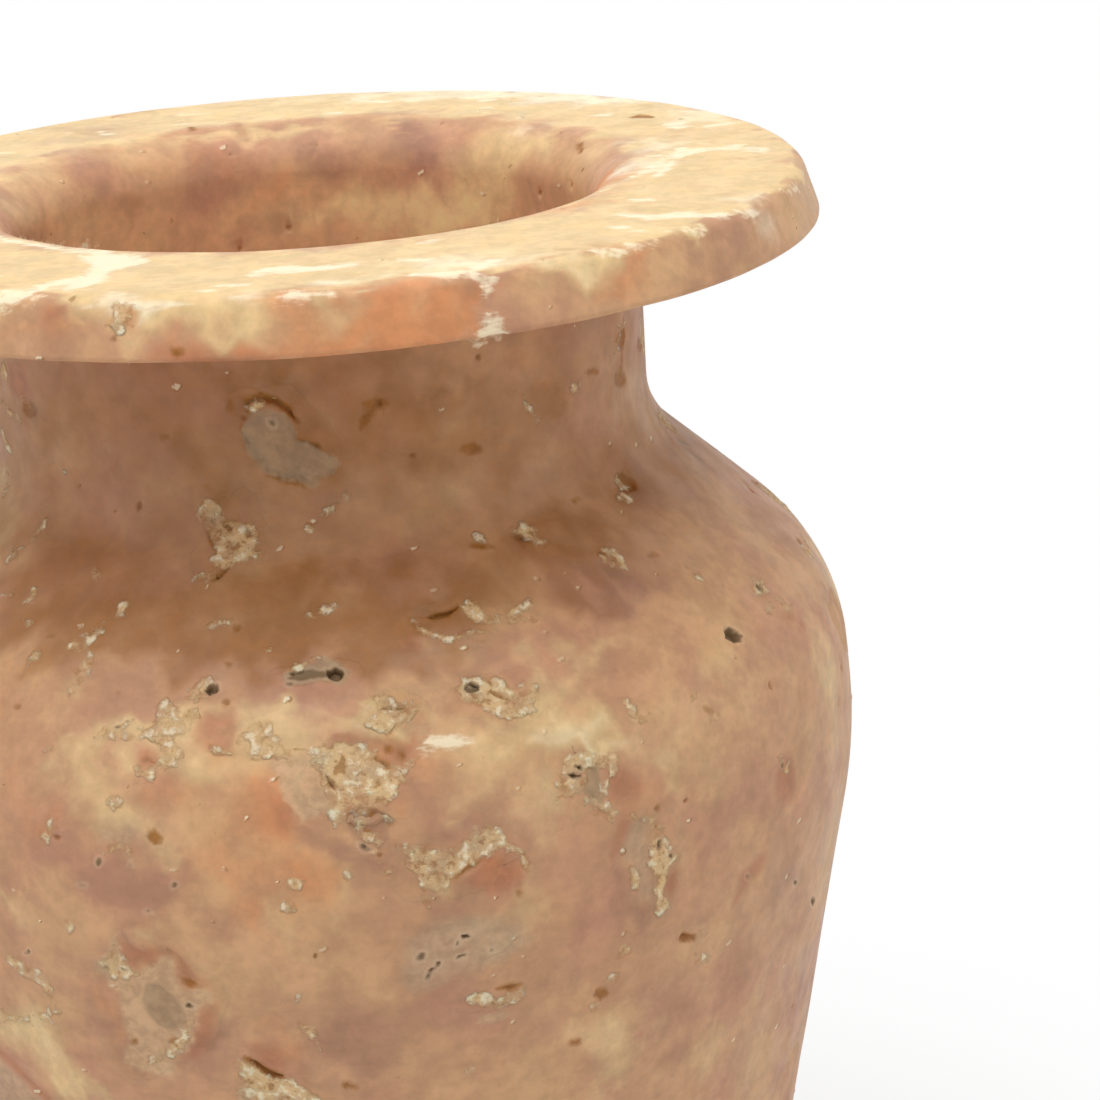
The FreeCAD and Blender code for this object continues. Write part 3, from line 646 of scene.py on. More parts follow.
# Soft clouds of colour: the middle in the photograph, the half sizes in millimetres on the
# skin, the strength and, where it isn't level, the turn in degrees, anticlockwise
CLOUDS = {
    # Glow clouds: orange stone on the belly; along the rim's bevel and lower arris, a painted glow of light
    # through the stone
    "glow": (
        (255, 800, 5, 4, 0.4, -30), (280, 815, 2.6, 2.6, 0.6), (225, 870, 4.2, 3.4, 0.5),
        (300, 880, 3, 2.6, 0.6), (262, 925, 2, 2.4, 0.6), (160, 790, 2.6, 2.4, 0.5),
        (500, 875, 2.2, 1.8, 0.7), (222, 735, 2.4, 2.2, 0.5), (30, 810, 3, 3.4, 0.45),
        (10, 700, 2, 3, 0.45), (380, 330, 6.5, 1.7, 0.95, 2), (440, 318, 4.6, 1.8, 0.85),
        (290, 325, 3, 1.6, 0.65), (230, 358, 8, 0.7, 0.8), (610, 278, 4, 2, 0.65, 8),
        (648, 268, 2, 1.6, 0.55), (60, 325, 4.5, 1.8, 0.55), (520, 295, 2.6, 1.2, 0.3),
        (640, 800, 2, 3.4, 0.4), (788, 790, 1.4, 2.8, 0.4), (560, 640, 8, 3, 0.2), (385, 742, 3, 1.2, 0.4),
        (408, 775, 1.6, 2.6, 0.55, 15), (285, 1045, 3, 2.2, 0.55, -20), (110, 1020, 2.2, 3.4, 0.35),
        (70, 470, 4, 3, 0.35), (520, 370, 4, 2, 0.35), (270, 200, 3, 2.6, 0.5), (205, 160, 4, 2.6, 0.4),
        (10, 960, 4, 2, 0.3),
    ),
    "veil": (
        (540, 700, 4, 2.6, 0.6), (560, 665, 5, 2, 0.35), (240, 715, 5, 1.6, 0.5), (395, 735, 3.4, 1.4, 0.5),
        (165, 745, 6, 2.4, 0.4), (130, 820, 6, 2.4, 0.4), (540, 820, 3.4, 3, 0.45), (690, 720, 4, 5, 0.35),
        (615, 1070, 3, 2.4, 0.5), (765, 650, 3, 5, 0.3), (585, 732, 6, 1.5, 0.85, -4),
        (350, 725, 7, 1.2, 0.6, -6), (480, 745, 4, 1.2, 0.55), (455, 865, 3, 1.6, 0.45, 20),
        (300, 770, 2.2, 3, 0.45), (660, 765, 3.6, 1.4, 0.55, -38), (470, 775, 5, 3, 0.5),
        (230, 775, 4, 1.8, 0.55), (90, 760, 4, 3.4, 0.65, -10), (160, 735, 5, 1.4, 0.7),
        (70, 710, 1.8, 3, 0.45, 15), (105, 820, 3.6, 2, 0.55), (180, 840, 2.6, 1.4, 0.45, -20),
        (270, 740, 3, 2.2, 0.6), (30, 1040, 4.6, 3.4, 0.8, -40), (75, 1080, 3, 2.4, 0.8, -40),
        (335, 890, 1.4, 3.4, 0.55, 20), (290, 935, 3, 2, 0.4), (20, 905, 4, 1.8, 0.45),
        (150, 925, 3.4, 1.2, 0.35, -20), (490, 925, 5, 2, 0.35), (620, 1030, 4.4, 4, 0.6, 20),
        (710, 1050, 2.2, 5, 0.5), (540, 890, 2.4, 3, 0.4), (720, 660, 4, 4, 0.4), (760, 720, 3.4, 5, 0.3),
        (720, 780, 4, 4, 0.3), (830, 680, 2.6, 8, 0.6), (830, 840, 2, 8, 0.4), (770, 1000, 2.6, 9, 0.4, -4),
        (700, 420, 2, 8, 0.45, 60), (430, 520, 5, 2.6, 0.3), (610, 655, 5, 1.6, 0.35),
        (230, 322, 7, 1.5, 0.85), (170, 302, 6, 1.8, 0.9), (100, 320, 2.4, 1.4, 0.7), (350, 298, 4, 1, 0.6),
        (540, 290, 3.4, 1.4, 0.5, 5), (680, 275, 3, 0.9, 0.35, 5), (400, 215, 9, 3, 0.7),
        (520, 145, 7, 3, 0.7), (30, 165, 9, 3.5, 0.6, 10), (600, 150, 4, 3.6, 0.45), (250, 130, 12, 2, 0.7),
        (150, 235, 6, 2, 0.3), (480, 175, 3, 5, 0.45), (250, 225, 3, 1.6, 0.35), (330, 215, 4, 2, 0.55),
        (470, 208, 5, 2.6, 0.7), (90, 225, 5, 2.4, 0.4), (20, 215, 4, 2.6, 0.4), (60, 200, 3, 2, 0.35),
    ),
    # Dusk clouds: mauve-brown stone; those at the bore's lower left are painted shade of its inner wall
    "dusk": (
        (20, 620, 4, 3, 0.5), (360, 1060, 6, 2.4, 0.4), (540, 1050, 5, 3, 0.4), (240, 1030, 5, 3, 0.3),
        (765, 560, 4, 3, 0.3), (330, 835, 3, 1.6, 0.75, -20), (600, 590, 4.6, 2, 0.85, -16),
        (615, 580, 5, 2.6, 0.7, -16), (540, 560, 4, 1.4, 0.6, -8), (470, 660, 5, 1.6, 0.45),
        (430, 950, 4, 2, 0.35), (370, 870, 3, 2.2, 0.65, -28), (440, 910, 5.4, 1.8, 0.6),
        (430, 815, 3.4, 2.4, 0.55, 10), (400, 655, 5, 1.8, 0.55), (300, 690, 5, 1.4, 0.4),
        (140, 690, 5, 2.4, 0.45), (20, 650, 4, 1.6, 0.35, 20), (300, 1010, 6, 2.4, 0.4, -20),
        (395, 1030, 4, 3.6, 0.45), (340, 1060, 3, 1.6, 0.45), (550, 985, 5, 3, 0.35, 20),
        (440, 1010, 4, 1.4, 0.35), (610, 870, 1.6, 3, 0.65, 10), (640, 915, 4, 1.8, 0.65, -30),
        (690, 925, 3, 1.4, 0.45, 20), (735, 890, 2, 4, 0.35, -10), (70, 955, 4, 1.8, 0.4, -20),
        (60, 985, 3.4, 1.4, 0.3, -20), (130, 880, 5.4, 2.4, 0.55, -8), (140, 948, 3, 1, 0.6, -10),
        (212, 1030, 1.4, 3, 0.5, 10), (290, 400, 5, 2, 0.45, -30), (320, 500, 4, 1.6, 0.5, -20),
        (60, 385, 5, 1.6, 0.45), (640, 400, 2.4, 5, 0.3), (680, 490, 4, 3, 0.45, -30),
        (710, 560, 4, 2, 0.4, -20), (205, 205, 4, 3.4, 0.55), (190, 165, 3.6, 2, 0.5),
        (415, 130, 3, 1.4, 0.85), (425, 160, 2.6, 2, 0.75), (325, 165, 3.6, 2.2, 0.65),
        (100, 175, 3, 2.6, 0.5), (40, 236, 2, 1, 0.5), (540, 195, 3.6, 2, 0.45), (395, 110, 3.6, 0.8, 0.45),
        (475, 300, 2.4, 2, 0.55), (706, 258, 1.8, 1.6, 0.65, 10), (765, 234, 1.8, 1.4, 0.45, 10),
        (808, 212, 1.2, 2, 0.55), (55, 312, 1.6, 1.4, 0.4), (130, 275, 4, 0.9, 0.3),
        (210, 265, 4, 0.8, 0.25), (640, 185, 2.4, 4, 0.25),
    ),
    # Patina clouds: brown patina, and painted shade of the rim's shadow on the neck and in the shoulder's
    # dark band
    "patina": (
        (90, 610, 8, 3.4, 0.45), (250, 640, 7, 3.2, 0.65), (390, 640, 6, 3, 0.6), (315, 440, 4.5, 3.4, 0.6),
        (465, 445, 4, 3, 0.35), (240, 440, 3, 3, 0.3), (210, 480, 3.4, 1.6, 0.65, -35),
        (285, 595, 5, 2, 0.8), (200, 640, 7, 2, 0.55), (80, 555, 7, 2.4, 0.6), (60, 615, 6, 1.6, 0.5),
        (430, 590, 9, 1.8, 0.65), (560, 540, 7, 1.6, 0.75, -10), (630, 480, 3, 3, 0.7, 20),
        (590, 590, 6, 1.4, 0.5), (380, 440, 6, 3, 0.5), (430, 395, 8, 1.2, 0.55), (280, 370, 12, 1.4, 0.6),
        (150, 410, 6, 3, 0.45), (500, 450, 5, 3, 0.3), (40, 415, 4, 2, 0.4), (235, 395, 1, 2.4, 0.5),
        (320, 655, 6, 1.4, 0.4), (10, 640, 4, 2.6, 0.7), (60, 645, 4, 1.6, 0.45), (120, 635, 5, 1.8, 0.55),
        (180, 655, 5, 1.4, 0.4), (250, 652, 5, 1.8, 0.6), (330, 625, 5, 2, 0.6), (400, 640, 5, 2, 0.6),
        (455, 625, 3, 1.4, 0.45), (15, 590, 4, 2.4, 0.5), (165, 600, 5, 2, 0.4), (315, 440, 2.6, 2.4, 0.4),
        (550, 560, 5, 2, 0.35), (615, 530, 4, 2, 0.35), (540, 410, 3, 2, 0.4), (115, 205, 2, 2.4, 0.35),
        (260, 235, 2, 1.6, 0.5),
    ),
    # Milk clouds: milky stone, and painted highlights along the rim's near edge, on the far rim and in the
    # belly's bright band
    "milk": (
        (150, 300, 3, 0.8, 0.8), (200, 299, 3.4, 0.8, 0.9), (250, 298, 3, 0.7, 0.65),
        (105, 300, 2, 0.6, 0.45), (350, 282, 3.4, 1.6, 0.75), (400, 270, 4, 2, 0.45),
        (455, 262, 4.6, 2.4, 0.55), (525, 258, 4, 2, 0.45), (755, 200, 4, 3, 0.6), (812, 178, 2.4, 4, 0.6),
        (640, 165, 3.4, 4, 0.65), (664, 145, 4, 4, 0.6), (600, 98, 7, 4, 0.75), (500, 92, 7, 4, 0.55),
        (400, 92, 6, 4, 0.4), (700, 114, 5, 4, 0.6), (300, 96, 6, 4, 0.35), (540, 128, 3, 2, 0.4),
        (560, 97, 8, 4, 0.5), (450, 95, 8, 4, 0.45), (350, 97, 6, 4, 0.35), (250, 101, 6, 3, 0.35),
        (592, 732, 4.6, 0.9, 0.45, -4), (535, 738, 3.4, 1, 0.35, -4), (345, 735, 4, 0.6, 0.35),
        (165, 735, 3, 0.6, 0.3), (40, 1050, 3, 1.4, 0.25, -40),
    ),
}

# How many made-up clouds of each kind the unseen sides get, and how strong they are
CLOUD_COUNTS = {"glow": 96, "veil": 110, "dusk": 90, "patina": 40, "milk": 26}
CLOUD_HALF_WIDTHS = (0.0018, 0.008)
CLOUD_FLATNESS = (0.35, 0.9)
CLOUD_STRENGTHS = (0.35, 0.9)
CLOUD_TURN_SPREAD = math.radians(28)

# Where the outside is seen in the photograph, so that nothing is made up there
SEEN_AZIMUTHS = (math.radians(-37), math.radians(80))
SEEN_HEIGHT = 0.036
SEEN_BORE_AZIMUTH = math.radians(90)

# Copies of the drawn features for the unseen sides, and how much they differ in size
WALL_COPIES = 240
RIM_COPIES = 15
BORE_COPIES = 9
COPY_SCALES = (0.6, 1.15)
COPY_TURN_SPREAD = math.radians(40)
COPY_RIM_GAP = 0.012
COPY_LIP_GAP = 0.002

# How far an edge's distance is stored on each side of it, and how far drawn edges
# stray from their corners
EDGE_REACH = 0.002
RIPPLE_WAVELENGTHS = (0.0055, 0.0027, 0.0014)
RIPPLE_WAVES = 3
RIPPLE_SHARE = 0.06
RIPPLE_SEEDS = (11, 12)
FORM_STRAY = 0.22
CLOUD_STRAY = 2.0

# How far a soft cloud is worked out, against its half size, and how fast it fades
CLOUD_REACH = 2.2
CLOUD_FALL = 1.3

# Kinds of form whose edges the materials read, and kinds laid into the soft clouds
EDGED_KINDS = ("cream", "grey", "beige", "sage", "red", "umber", "pit", "chip")
CLOUD_KINDS = ("glow", "veil", "dusk", "patina", "milk")
CLOUDED_FORM_FADE = 0.0016
CLOUDED_FORM_STRENGTH = 0.55

# Walls of carved forms, the width of a form that the thinned mesh might lose, and the
# band round it that keeps all its vertices
CARVED_WALL = 0.00028
SMALL_FORM = 0.0008
KEPT_BAND = 0.00035
KEPT_SOCKET_BAND = 0.0009

# The rim's pale skin: from this far below the top on the outside to this far down the bore
RIM_SKIN_DROP = 0.0010
RIM_SKIN_BORE = 0.0006
RIM_SKIN_FADE = 0.0016
RIM_SKIN_BORE_FADE = 0.0050
RIM_SKIN_STRENGTH = 0.86

# Light that comes through the stone brightens the bore, from this far below its lip
BORE_LIGHT_DROP = 0.001
BORE_LIGHT_FADE = 0.009

# Brown patina and painted shade of the rim's shadow lie round the neck, fading out over the shoulder
PATINA_AND_SHADE_TOP = 0.1135
PATINA_AND_SHADE_FOOT = 0.088
PATINA_AND_SHADE_FADE = 0.010
PATINA_AND_SHADE_STRENGTH = 0.44

# Roundings of the section, as the model has them
FOOT_ROUND = 0.0025
LOWER_BELLY_ROUND = 0.3
UPPER_BELLY_ROUND = 0.045
SHOULDER_ROUND = 0.015
NECK_FOOT_ROUND = 0.008
UNDER_RIM_ROUND = 0.001
RIM_ARRIS_ROUND = 0.0004
RIM_TOP_ROUND = 0.0015
BORE_END_ROUND = 0.0025
INNER_SHOULDER_ROUND = 0.009
FLOOR_ROUND = 0.01
BORE_END_DROP = 0.0038
INNER_SHOULDER_DROP = 0.001

# A rounding uses up at most this share of the shorter run beside it, and has at least so
# many steps. The foot's flat and the hollow are drawn with longer steps than the rest.
ROUND_LIMIT_SHARE = 0.45
ARC_STEPS = 5
COARSE_FACTOR = 4
COARSE_FOOT_CLIMB = 0.026
FINE_BORE_DROP = 0.014
SHORTEST_RUN_SHARE = 0.2

# Lumps of other stone and their sockets: depths below the skin, how far out of the outline
# the rings at a lump's edge lie and how deep below the skin, and how its mesh is divided
SOCKET_DEPTH = 0.0015
LUMP_EDGE = (
    (-0.00025, 0.0),
    (0.0, -0.00001),
    (0.00025, -0.00002),
    (0.00043, -0.00002),
    (0.00055, 0.0),
    (0.00067, 0.00003),
    (0.0008, 0.00007),
    (0.0004, 0.00028),
    (0.0, 0.0006),
    (-0.0001, 0.001),
)
LUMP_DEPTH = 0.0014
LUMP_RECESS = 0.00025
LUMP_SPOKES = 132
LUMP_RINGS = 22
LUMP_BASE_SHARES = (0.94, 0.6)
LUMP_CORE_INSET = 0.0003
LUMP_TOP_LIMIT = LUMP_RECESS * 1.6
OUTLINE_BINS = 40
OUTLINE_LEAST_SHARE = 0.4
RAGGED_LOBES = (5, 8, 13, 19, 27, 38)
RAGGED_DEPTH = 0.0001


def corners_of(sizes):
    """Corners (radius, height, rounding) from the foot's centre over the rim to the floor's."""
    upper_belly = sizes.lower_belly_rise + sizes.upper_belly_rise
    shoulder = upper_belly + sizes.shoulder_rise
    neck_foot = shoulder + sizes.neck_foot_rise
    under_rim = neck_foot + sizes.neck_rise
    rim_arris = under_rim + sizes.rim_undercut
    top = rim_arris + sizes.rim_thickness
    rim_top_radius = sizes.rim_radius - sizes.rim_bevel
    bore_radius = sizes.neck_radius - sizes.neck_wall
    return [
        (0, 0, 0),
        (sizes.foot_radius, 0, FOOT_ROUND),
        (sizes.lower_belly_radius, sizes.lower_belly_rise, LOWER_BELLY_ROUND),
        (sizes.upper_belly_radius, upper_belly, UPPER_BELLY_ROUND),
        (sizes.shoulder_radius, shoulder, SHOULDER_ROUND),
        (sizes.neck_radius, neck_foot, NECK_FOOT_ROUND),
        (sizes.neck_radius, under_rim, UNDER_RIM_ROUND),
        (sizes.rim_radius, rim_arris, RIM_ARRIS_ROUND),
        (rim_top_radius, top, RIM_TOP_ROUND),
        (bore_radius, top, sizes.lip_round),
        (bore_radius, neck_foot - BORE_END_DROP, BORE_END_ROUND),
        (sizes.shoulder_radius - sizes.belly_wall, shoulder - INNER_SHOULDER_DROP, INNER_SHOULDER_ROUND),
        (sizes.upper_belly_radius - sizes.belly_wall, upper_belly, UPPER_BELLY_ROUND - sizes.belly_wall),
        (sizes.lower_belly_radius - sizes.belly_wall, sizes.lower_belly_rise, LOWER_BELLY_ROUND),
        (sizes.foot_radius - sizes.foot_wall, sizes.floor_thickness, FLOOR_ROUND),
        (0, sizes.floor_thickness, 0),
    ]


def unit(vector):
    """A vector's direction."""
    return vector / np.linalg.norm(vector)


def rounded_run(corners, step):
    """Points a step apart through the corners, each inner corner made an arc."""
    places = [np.array(corner[:2], float) for corner in corners]
    points = [places[0]]

    def walk_to(end):
        """Adds points along a straight run, and its end."""
        start = points[-1]
        count = max(1, math.ceil(np.linalg.norm(end - start) / step))
        points.extend(start + (end - start) * share for share in np.linspace(0, 1, count + 1)[1:])

    for index in range(1, len(places) - 1):
        corner = places[index]
        back = unit(places[index - 1] - corner)
        ahead = unit(places[index + 1] - corner)
        half_turn = (math.pi - math.acos(np.clip(back @ ahead, -1, 1))) / 2
        shorter_run = min(np.linalg.norm(places[index + side] - corner) for side in (-1, 1))
        tangent = min(corners[index][2] * math.tan(half_turn), shorter_run * ROUND_LIMIT_SHARE)
        rounding = tangent / math.tan(half_turn)
        centre = corner + unit(back + ahead) * rounding / math.cos(half_turn)
        first = corner + back * tangent
        last = corner + ahead * tangent
        walk_to(first)
        out = unit(first - centre)
        aside = unit((last - centre) - out * ((last - centre) @ out))
        count = max(ARC_STEPS, math.ceil(2 * half_turn * rounding / step))
        for angle in np.linspace(0, 2 * half_turn, count + 1)[1:]:
            points.append(centre + (out * math.cos(angle) + aside * math.sin(angle)) * rounding)
    walk_to(places[-1])
    return np.array(points)


class Section:
    """The jar's section as close points, with the climb and the outward direction of each."""

    def __init__(self, sizes, step):
        points = rounded_run(corners_of(sizes), step)
        run = np.hypot(*np.diff(points, axis=0).T)
        points = points[np.concatenate(([True], run > step * SHORTEST_RUN_SHARE))]
        self.points = self.thinned(points)
        self.climb = self.climb_of(self.points)
        tangent = np.gradient(self.points, self.climb, axis=0)
        tangent /= np.linalg.norm(tangent, axis=1)[:, None]
        self.outward = np.stack((tangent[:, 1], -tangent[:, 0]), axis=1)
        level = np.flatnonzero(self.points[:, 1] > JAR_TOP - 1e-6)
        self.rim_edge_climb = self.climb[level[0]]
        self.lip_climb = self.climb[level[-1]]

    @staticmethod
    def climb_of(points):
        """The way along the section to each point."""
        return np.concatenate(([0.0], np.cumsum(np.hypot(*np.diff(points, axis=0).T))))

    def thinned(self, points):
        """The points without most of those on the foot's flat and deep in the hollow."""
        climb = self.climb_of(points)
        rim = np.argmax(points[:, 1])
        deep = (np.arange(len(points)) > rim) & (points[:, 1] < JAR_TOP - FINE_BORE_DROP)
        coarse = deep | (climb < COARSE_FOOT_CLIMB)
        keep = ~coarse | (np.arange(len(points)) % COARSE_FACTOR == 0)
        keep[[0, -1]] = True
        return points[keep]

    def climb_near(self, radius, height):
        """The climb of the section's point nearest to each place, and how far off it is."""
        places = np.stack((np.atleast_1d(radius), np.atleast_1d(height)), axis=1)
        gaps = np.linalg.norm(self.points[None] - places[:, None], axis=2)
        nearest = np.argmin(gaps, axis=1)
        return self.climb[nearest], gaps[np.arange(len(places)), nearest]

    def at(self, climb, values):
        """Radius and height, or outward direction, at each climb."""
        return np.stack([np.interp(climb, self.climb, values[:, axis]) for axis in (0, 1)], axis=-1)

    def radius_at(self, climb):
        """Radius at a climb."""
        return self.at(climb, self.points)[..., 0]

    def skin_point(self, azimuth, climb, depth):
        """Points of the skin, or a depth below it, at each azimuth and climb."""
        flat = self.at(climb, self.points) - self.at(climb, self.outward) * depth[..., None]
        x, y = flat[..., 0] * np.sin(azimuth), -flat[..., 0] * np.cos(azimuth)
        return np.stack((x, y, flat[..., 1]), axis=-1)


def camera_axes():
    """The photograph's camera: its place, and its directions right, up and forward."""
    place = Vector((0, -math.cos(CAMERA_ELEVATION), math.sin(CAMERA_ELEVATION))) * CAMERA_DISTANCE
    place.z += JAR_TOP
    level = Vector((math.cos(CAMERA_YAW), -math.sin(CAMERA_YAW), 0))
    ahead = Vector((math.sin(CAMERA_YAW), math.cos(CAMERA_YAW), 0))
    forward = ahead * math.cos(CAMERA_PITCH) + Vector((0, 0, math.sin(CAMERA_PITCH)))
    above = level.cross(forward)
    right = level * math.cos(CAMERA_ROLL) + above * math.sin(CAMERA_ROLL)
    up = above * math.cos(CAMERA_ROLL) - level * math.sin(CAMERA_ROLL)
    return place, right, up, forward


def model_surface():
    """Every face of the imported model, for casting rays at."""
    places, faces = [], []
    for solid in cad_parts.values():
        first = len(places)
        places.extend(vertex.co.copy() for vertex in solid.data.vertices)
        faces.extend([first + corner for corner in face.vertices] for face in solid.data.polygons)
    return BVHTree.FromPolygons(places, faces)


MODEL_SURFACE = model_surface()


def skin_place(section, x, y):
    """The azimuth and climb that a pixel of the photograph shows, or None beside the jar."""
    start, right, up, forward = camera_axes()
    aside = x - PHOTO_SIDE_PIXELS / 2
    below = y - PHOTO_SIDE_PIXELS / 2
    direction = (forward * PHOTO_FOCAL_PIXELS + right * aside - up * below).normalized()
    place = MODEL_SURFACE.ray_cast(start, direction)[0]
    if place is None:
        return None
    climb, _ = section.climb_near(math.hypot(place.x, place.y), place.z)
    return math.atan2(place.x, -place.y), climb[0]


def turn_between(azimuth, other):
    """How far round one azimuth lies from another, between half turns."""
    return (azimuth - other + math.pi) % (2 * math.pi) - math.pi


class Form:
    """An outline on the skin: its kind and depth, its middle, and its corners round that."""

    def __init__(self, kind, depth, azimuth, climb, corners):
        self.kind = kind
        self.depth = depth
        self.azimuth = azimuth
        self.climb = climb
        self.corners = corners
        self.reach = np.hypot(*corners.T).max()
        self.width = min(np.ptp(corners, axis=0))

    @classmethod
    def from_photo(cls, section, kind, depth_mm, pixels):
        """A drawn form laid on the skin, or None where it misses the jar."""
        found = [skin_place(section, x, y) for x, y in pixels]
        found = np.array([place for place in found if place])
        if len(found) < 3:
            return None
        turns = turn_between(found[:, 0], found[0, 0])
        azimuth = found[0, 0] + turns.mean()
        climb = found[:, 1].mean()
        across = (turns - turns.mean()) * section.radius_at(found[:, 1])
        corners = np.stack((across, found[:, 1] - climb), axis=1)
        return cls(kind, depth_mm * MM, azimuth, climb, corners)

    def copied(self, section, pivot, azimuth, climb, change):
        """A copy moved with its feature from a pivot to another place, changed by a matrix."""
        shift = np.array(
            (turn_between(self.azimuth, pivot[0]) * section.radius_at(pivot[1]), self.climb - pivot[1])
        )
        shift = change @ shift
        azimuth += shift[0] / section.radius_at(climb)
        return Form(self.kind, self.depth, azimuth, climb + shift[1], self.corners @ change.T)

    def inside(self, across, along):
        """How far inside the outline each place lies; outside it, the distance is negative."""
        inside = np.zeros(len(across), bool)
        nearest = np.full(len(across), np.inf)
        for (u, v), (next_u, next_v) in zip(self.corners, np.roll(self.corners, -1, axis=0)):
            side_u, side_v = next_u - u, next_v - v
            share = ((across - u) * side_u + (along - v) * side_v) / max(side_u**2 + side_v**2, 1e-12)
            share = np.clip(share, 0, 1)
            gap = (across - u - share * side_u) ** 2 + (along - v - share * side_v) ** 2
            nearest = np.minimum(nearest, gap)
            if side_v:
                crossed = (v > along) != (next_v > along)
                inside ^= crossed & (across < u + (along - v) * side_u / side_v)
        return np.where(inside, 1, -1) * np.sqrt(nearest)


# A soft cloud on the skin
SkinCloud = namedtuple("SkinCloud", "azimuth climb half_width half_height turn strength")


def unseen(section, azimuth, climb):
    """Whether the photograph doesn't show this place of the skin."""
    height = section.at(climb, section.points)[1]
    turn = abs(turn_between(azimuth, 0.0))
    if climb > section.lip_climb:
        return turn < SEEN_BORE_AZIMUTH or height < JAR_TOP - FINE_BORE_DROP
    if climb > section.rim_edge_climb - EDGE_REACH:
        return turn > SEEN_AZIMUTHS[1]
    return height < SEEN_HEIGHT or not SEEN_AZIMUTHS[0] < turn_between(azimuth, 0.0) < SEEN_AZIMUTHS[1]


def photographed_features(section, table):
    """The forms of each feature of a table, laid on the skin."""
    features = []
    for drawn_forms in table.values():
        forms = [Form.from_photo(section, *drawn) for drawn in drawn_forms]
        features.append([form for form in forms if form])
    return [forms for forms in features if forms]


def copied_features(section, features, rng, count, climbs, turn_spread):
    """Copies of features at made-up places that the photograph doesn't show."""
    forms, widest = [], section.points[:, 0].max()
    for _ in range(count):
        feature = features[rng.integers(len(features))]
        pivot = (feature[0].azimuth, feature[0].climb)
        azimuth, climb = rng.uniform(-math.pi, math.pi), rng.uniform(*climbs) if climbs else pivot[1]
        crowded = climbs and rng.uniform(0, widest) > section.radius_at(climb)
        if crowded or not unseen(section, azimuth, climb):
            continue
        turn = rng.normal(0, turn_spread)
        change = np.array(((math.cos(turn), -math.sin(turn)), (math.sin(turn), math.cos(turn))))
        change = change @ np.diag((rng.choice((-1, 1)), 1.0)) * rng.uniform(*COPY_SCALES)
        forms += [form.copied(section, pivot, azimuth, climb, change) for form in feature]
    return forms


def all_forms(section, seed):
    """Every form on the skin: those of the photograph, and copies on the unseen sides."""
    rng = np.random.default_rng(seed)
    wall = photographed_features(section, WALL_FEATURES)
    rim = photographed_features(section, RIM_FEATURES)
    bore = photographed_features(section, BORE_FEATURES)
    forms = [form for feature in wall + rim + bore for form in feature]
    walls = (COARSE_FOOT_CLIMB, section.rim_edge_climb - COPY_RIM_GAP)
    hollow = (section.lip_climb + COPY_LIP_GAP, section.climb[-1])
    forms += copied_features(section, wall, rng, WALL_COPIES, walls, COPY_TURN_SPREAD)
    forms += copied_features(section, rim, rng, RIM_COPIES, None, 0.0)
    forms += copied_features(section, bore, rng, BORE_COPIES, hollow, COPY_TURN_SPREAD)
    return forms


def all_clouds(section, seed):
    """Soft clouds by their kind: those of the photograph, and made-up ones."""
    rng = np.random.default_rng(seed + 1)
    widest = section.points[:, 0].max()
    clouds = {}
    for kind, table in CLOUDS.items():
        found = [(skin_place(section, x, y), rest) for x, y, *rest in table]
        clouds[kind] = [
            SkinCloud(*place, width * MM, height * MM, math.radians(sum(turn)), strength)
            for place, (width, height, strength, *turn) in found
            if place
        ]
        wanted = len(clouds[kind]) + CLOUD_COUNTS[kind]
        while len(clouds[kind]) < wanted:
            azimuth, climb = rng.uniform(-math.pi, math.pi), rng.uniform(0, section.climb[-1])
            half_width = math.exp(rng.uniform(*np.log(CLOUD_HALF_WIDTHS)))
            half_height = half_width * rng.uniform(*CLOUD_FLATNESS)
            turn, strength = rng.normal(0, CLOUD_TURN_SPREAD), rng.uniform(*CLOUD_STRENGTHS)
            if rng.uniform(0, widest) < section.radius_at(climb) and unseen(section, azimuth, climb):
                clouds[kind].append(SkinCloud(azimuth, climb, half_width, half_height, turn, strength))
    return clouds


def read_floats(mesh, name, width=1):
    """A vertex attribute as an array."""
    values = np.zeros(len(mesh.vertices) * width, np.float32)
    mesh.attributes[name].data.foreach_get("vector" if width == 3 else "value", values)
    return values.reshape(-1, width) if width > 1 else values


def write_floats(mesh, name, values):
    """Stores an array on the vertices, as numbers or as vectors."""
    kind = "FLOAT_VECTOR" if values.ndim == 2 else "FLOAT"
    attribute = mesh.attributes.get(name) or mesh.attributes.new(name, kind, "POINT")
    numbers = np.ascontiguousarray(values, np.float32).ravel()
    attribute.data.foreach_set("vector" if values.ndim == 2 else "value", numbers)


def ripples(places, seed):
    """How far a ragged edge strays at each place: a sum of waves in turned directions."""
    rng = np.random.default_rng(seed)
    total = np.zeros(len(places))
    for wavelength in RIPPLE_WAVELENGTHS:
        for _ in range(RIPPLE_WAVES):
            direction = unit(rng.normal(size=3)) * 2 * math.pi / wavelength
            phase = rng.uniform(0, 2 * math.pi)
            total += wavelength * RIPPLE_SHARE * np.sin(places @ direction + phase)
    return total


def smooth(share):
    """A share clipped to 0 to 1 and eased at both ends."""
    share = np.clip(share, 0, 1)
    return share * share * (3 - 2 * share)


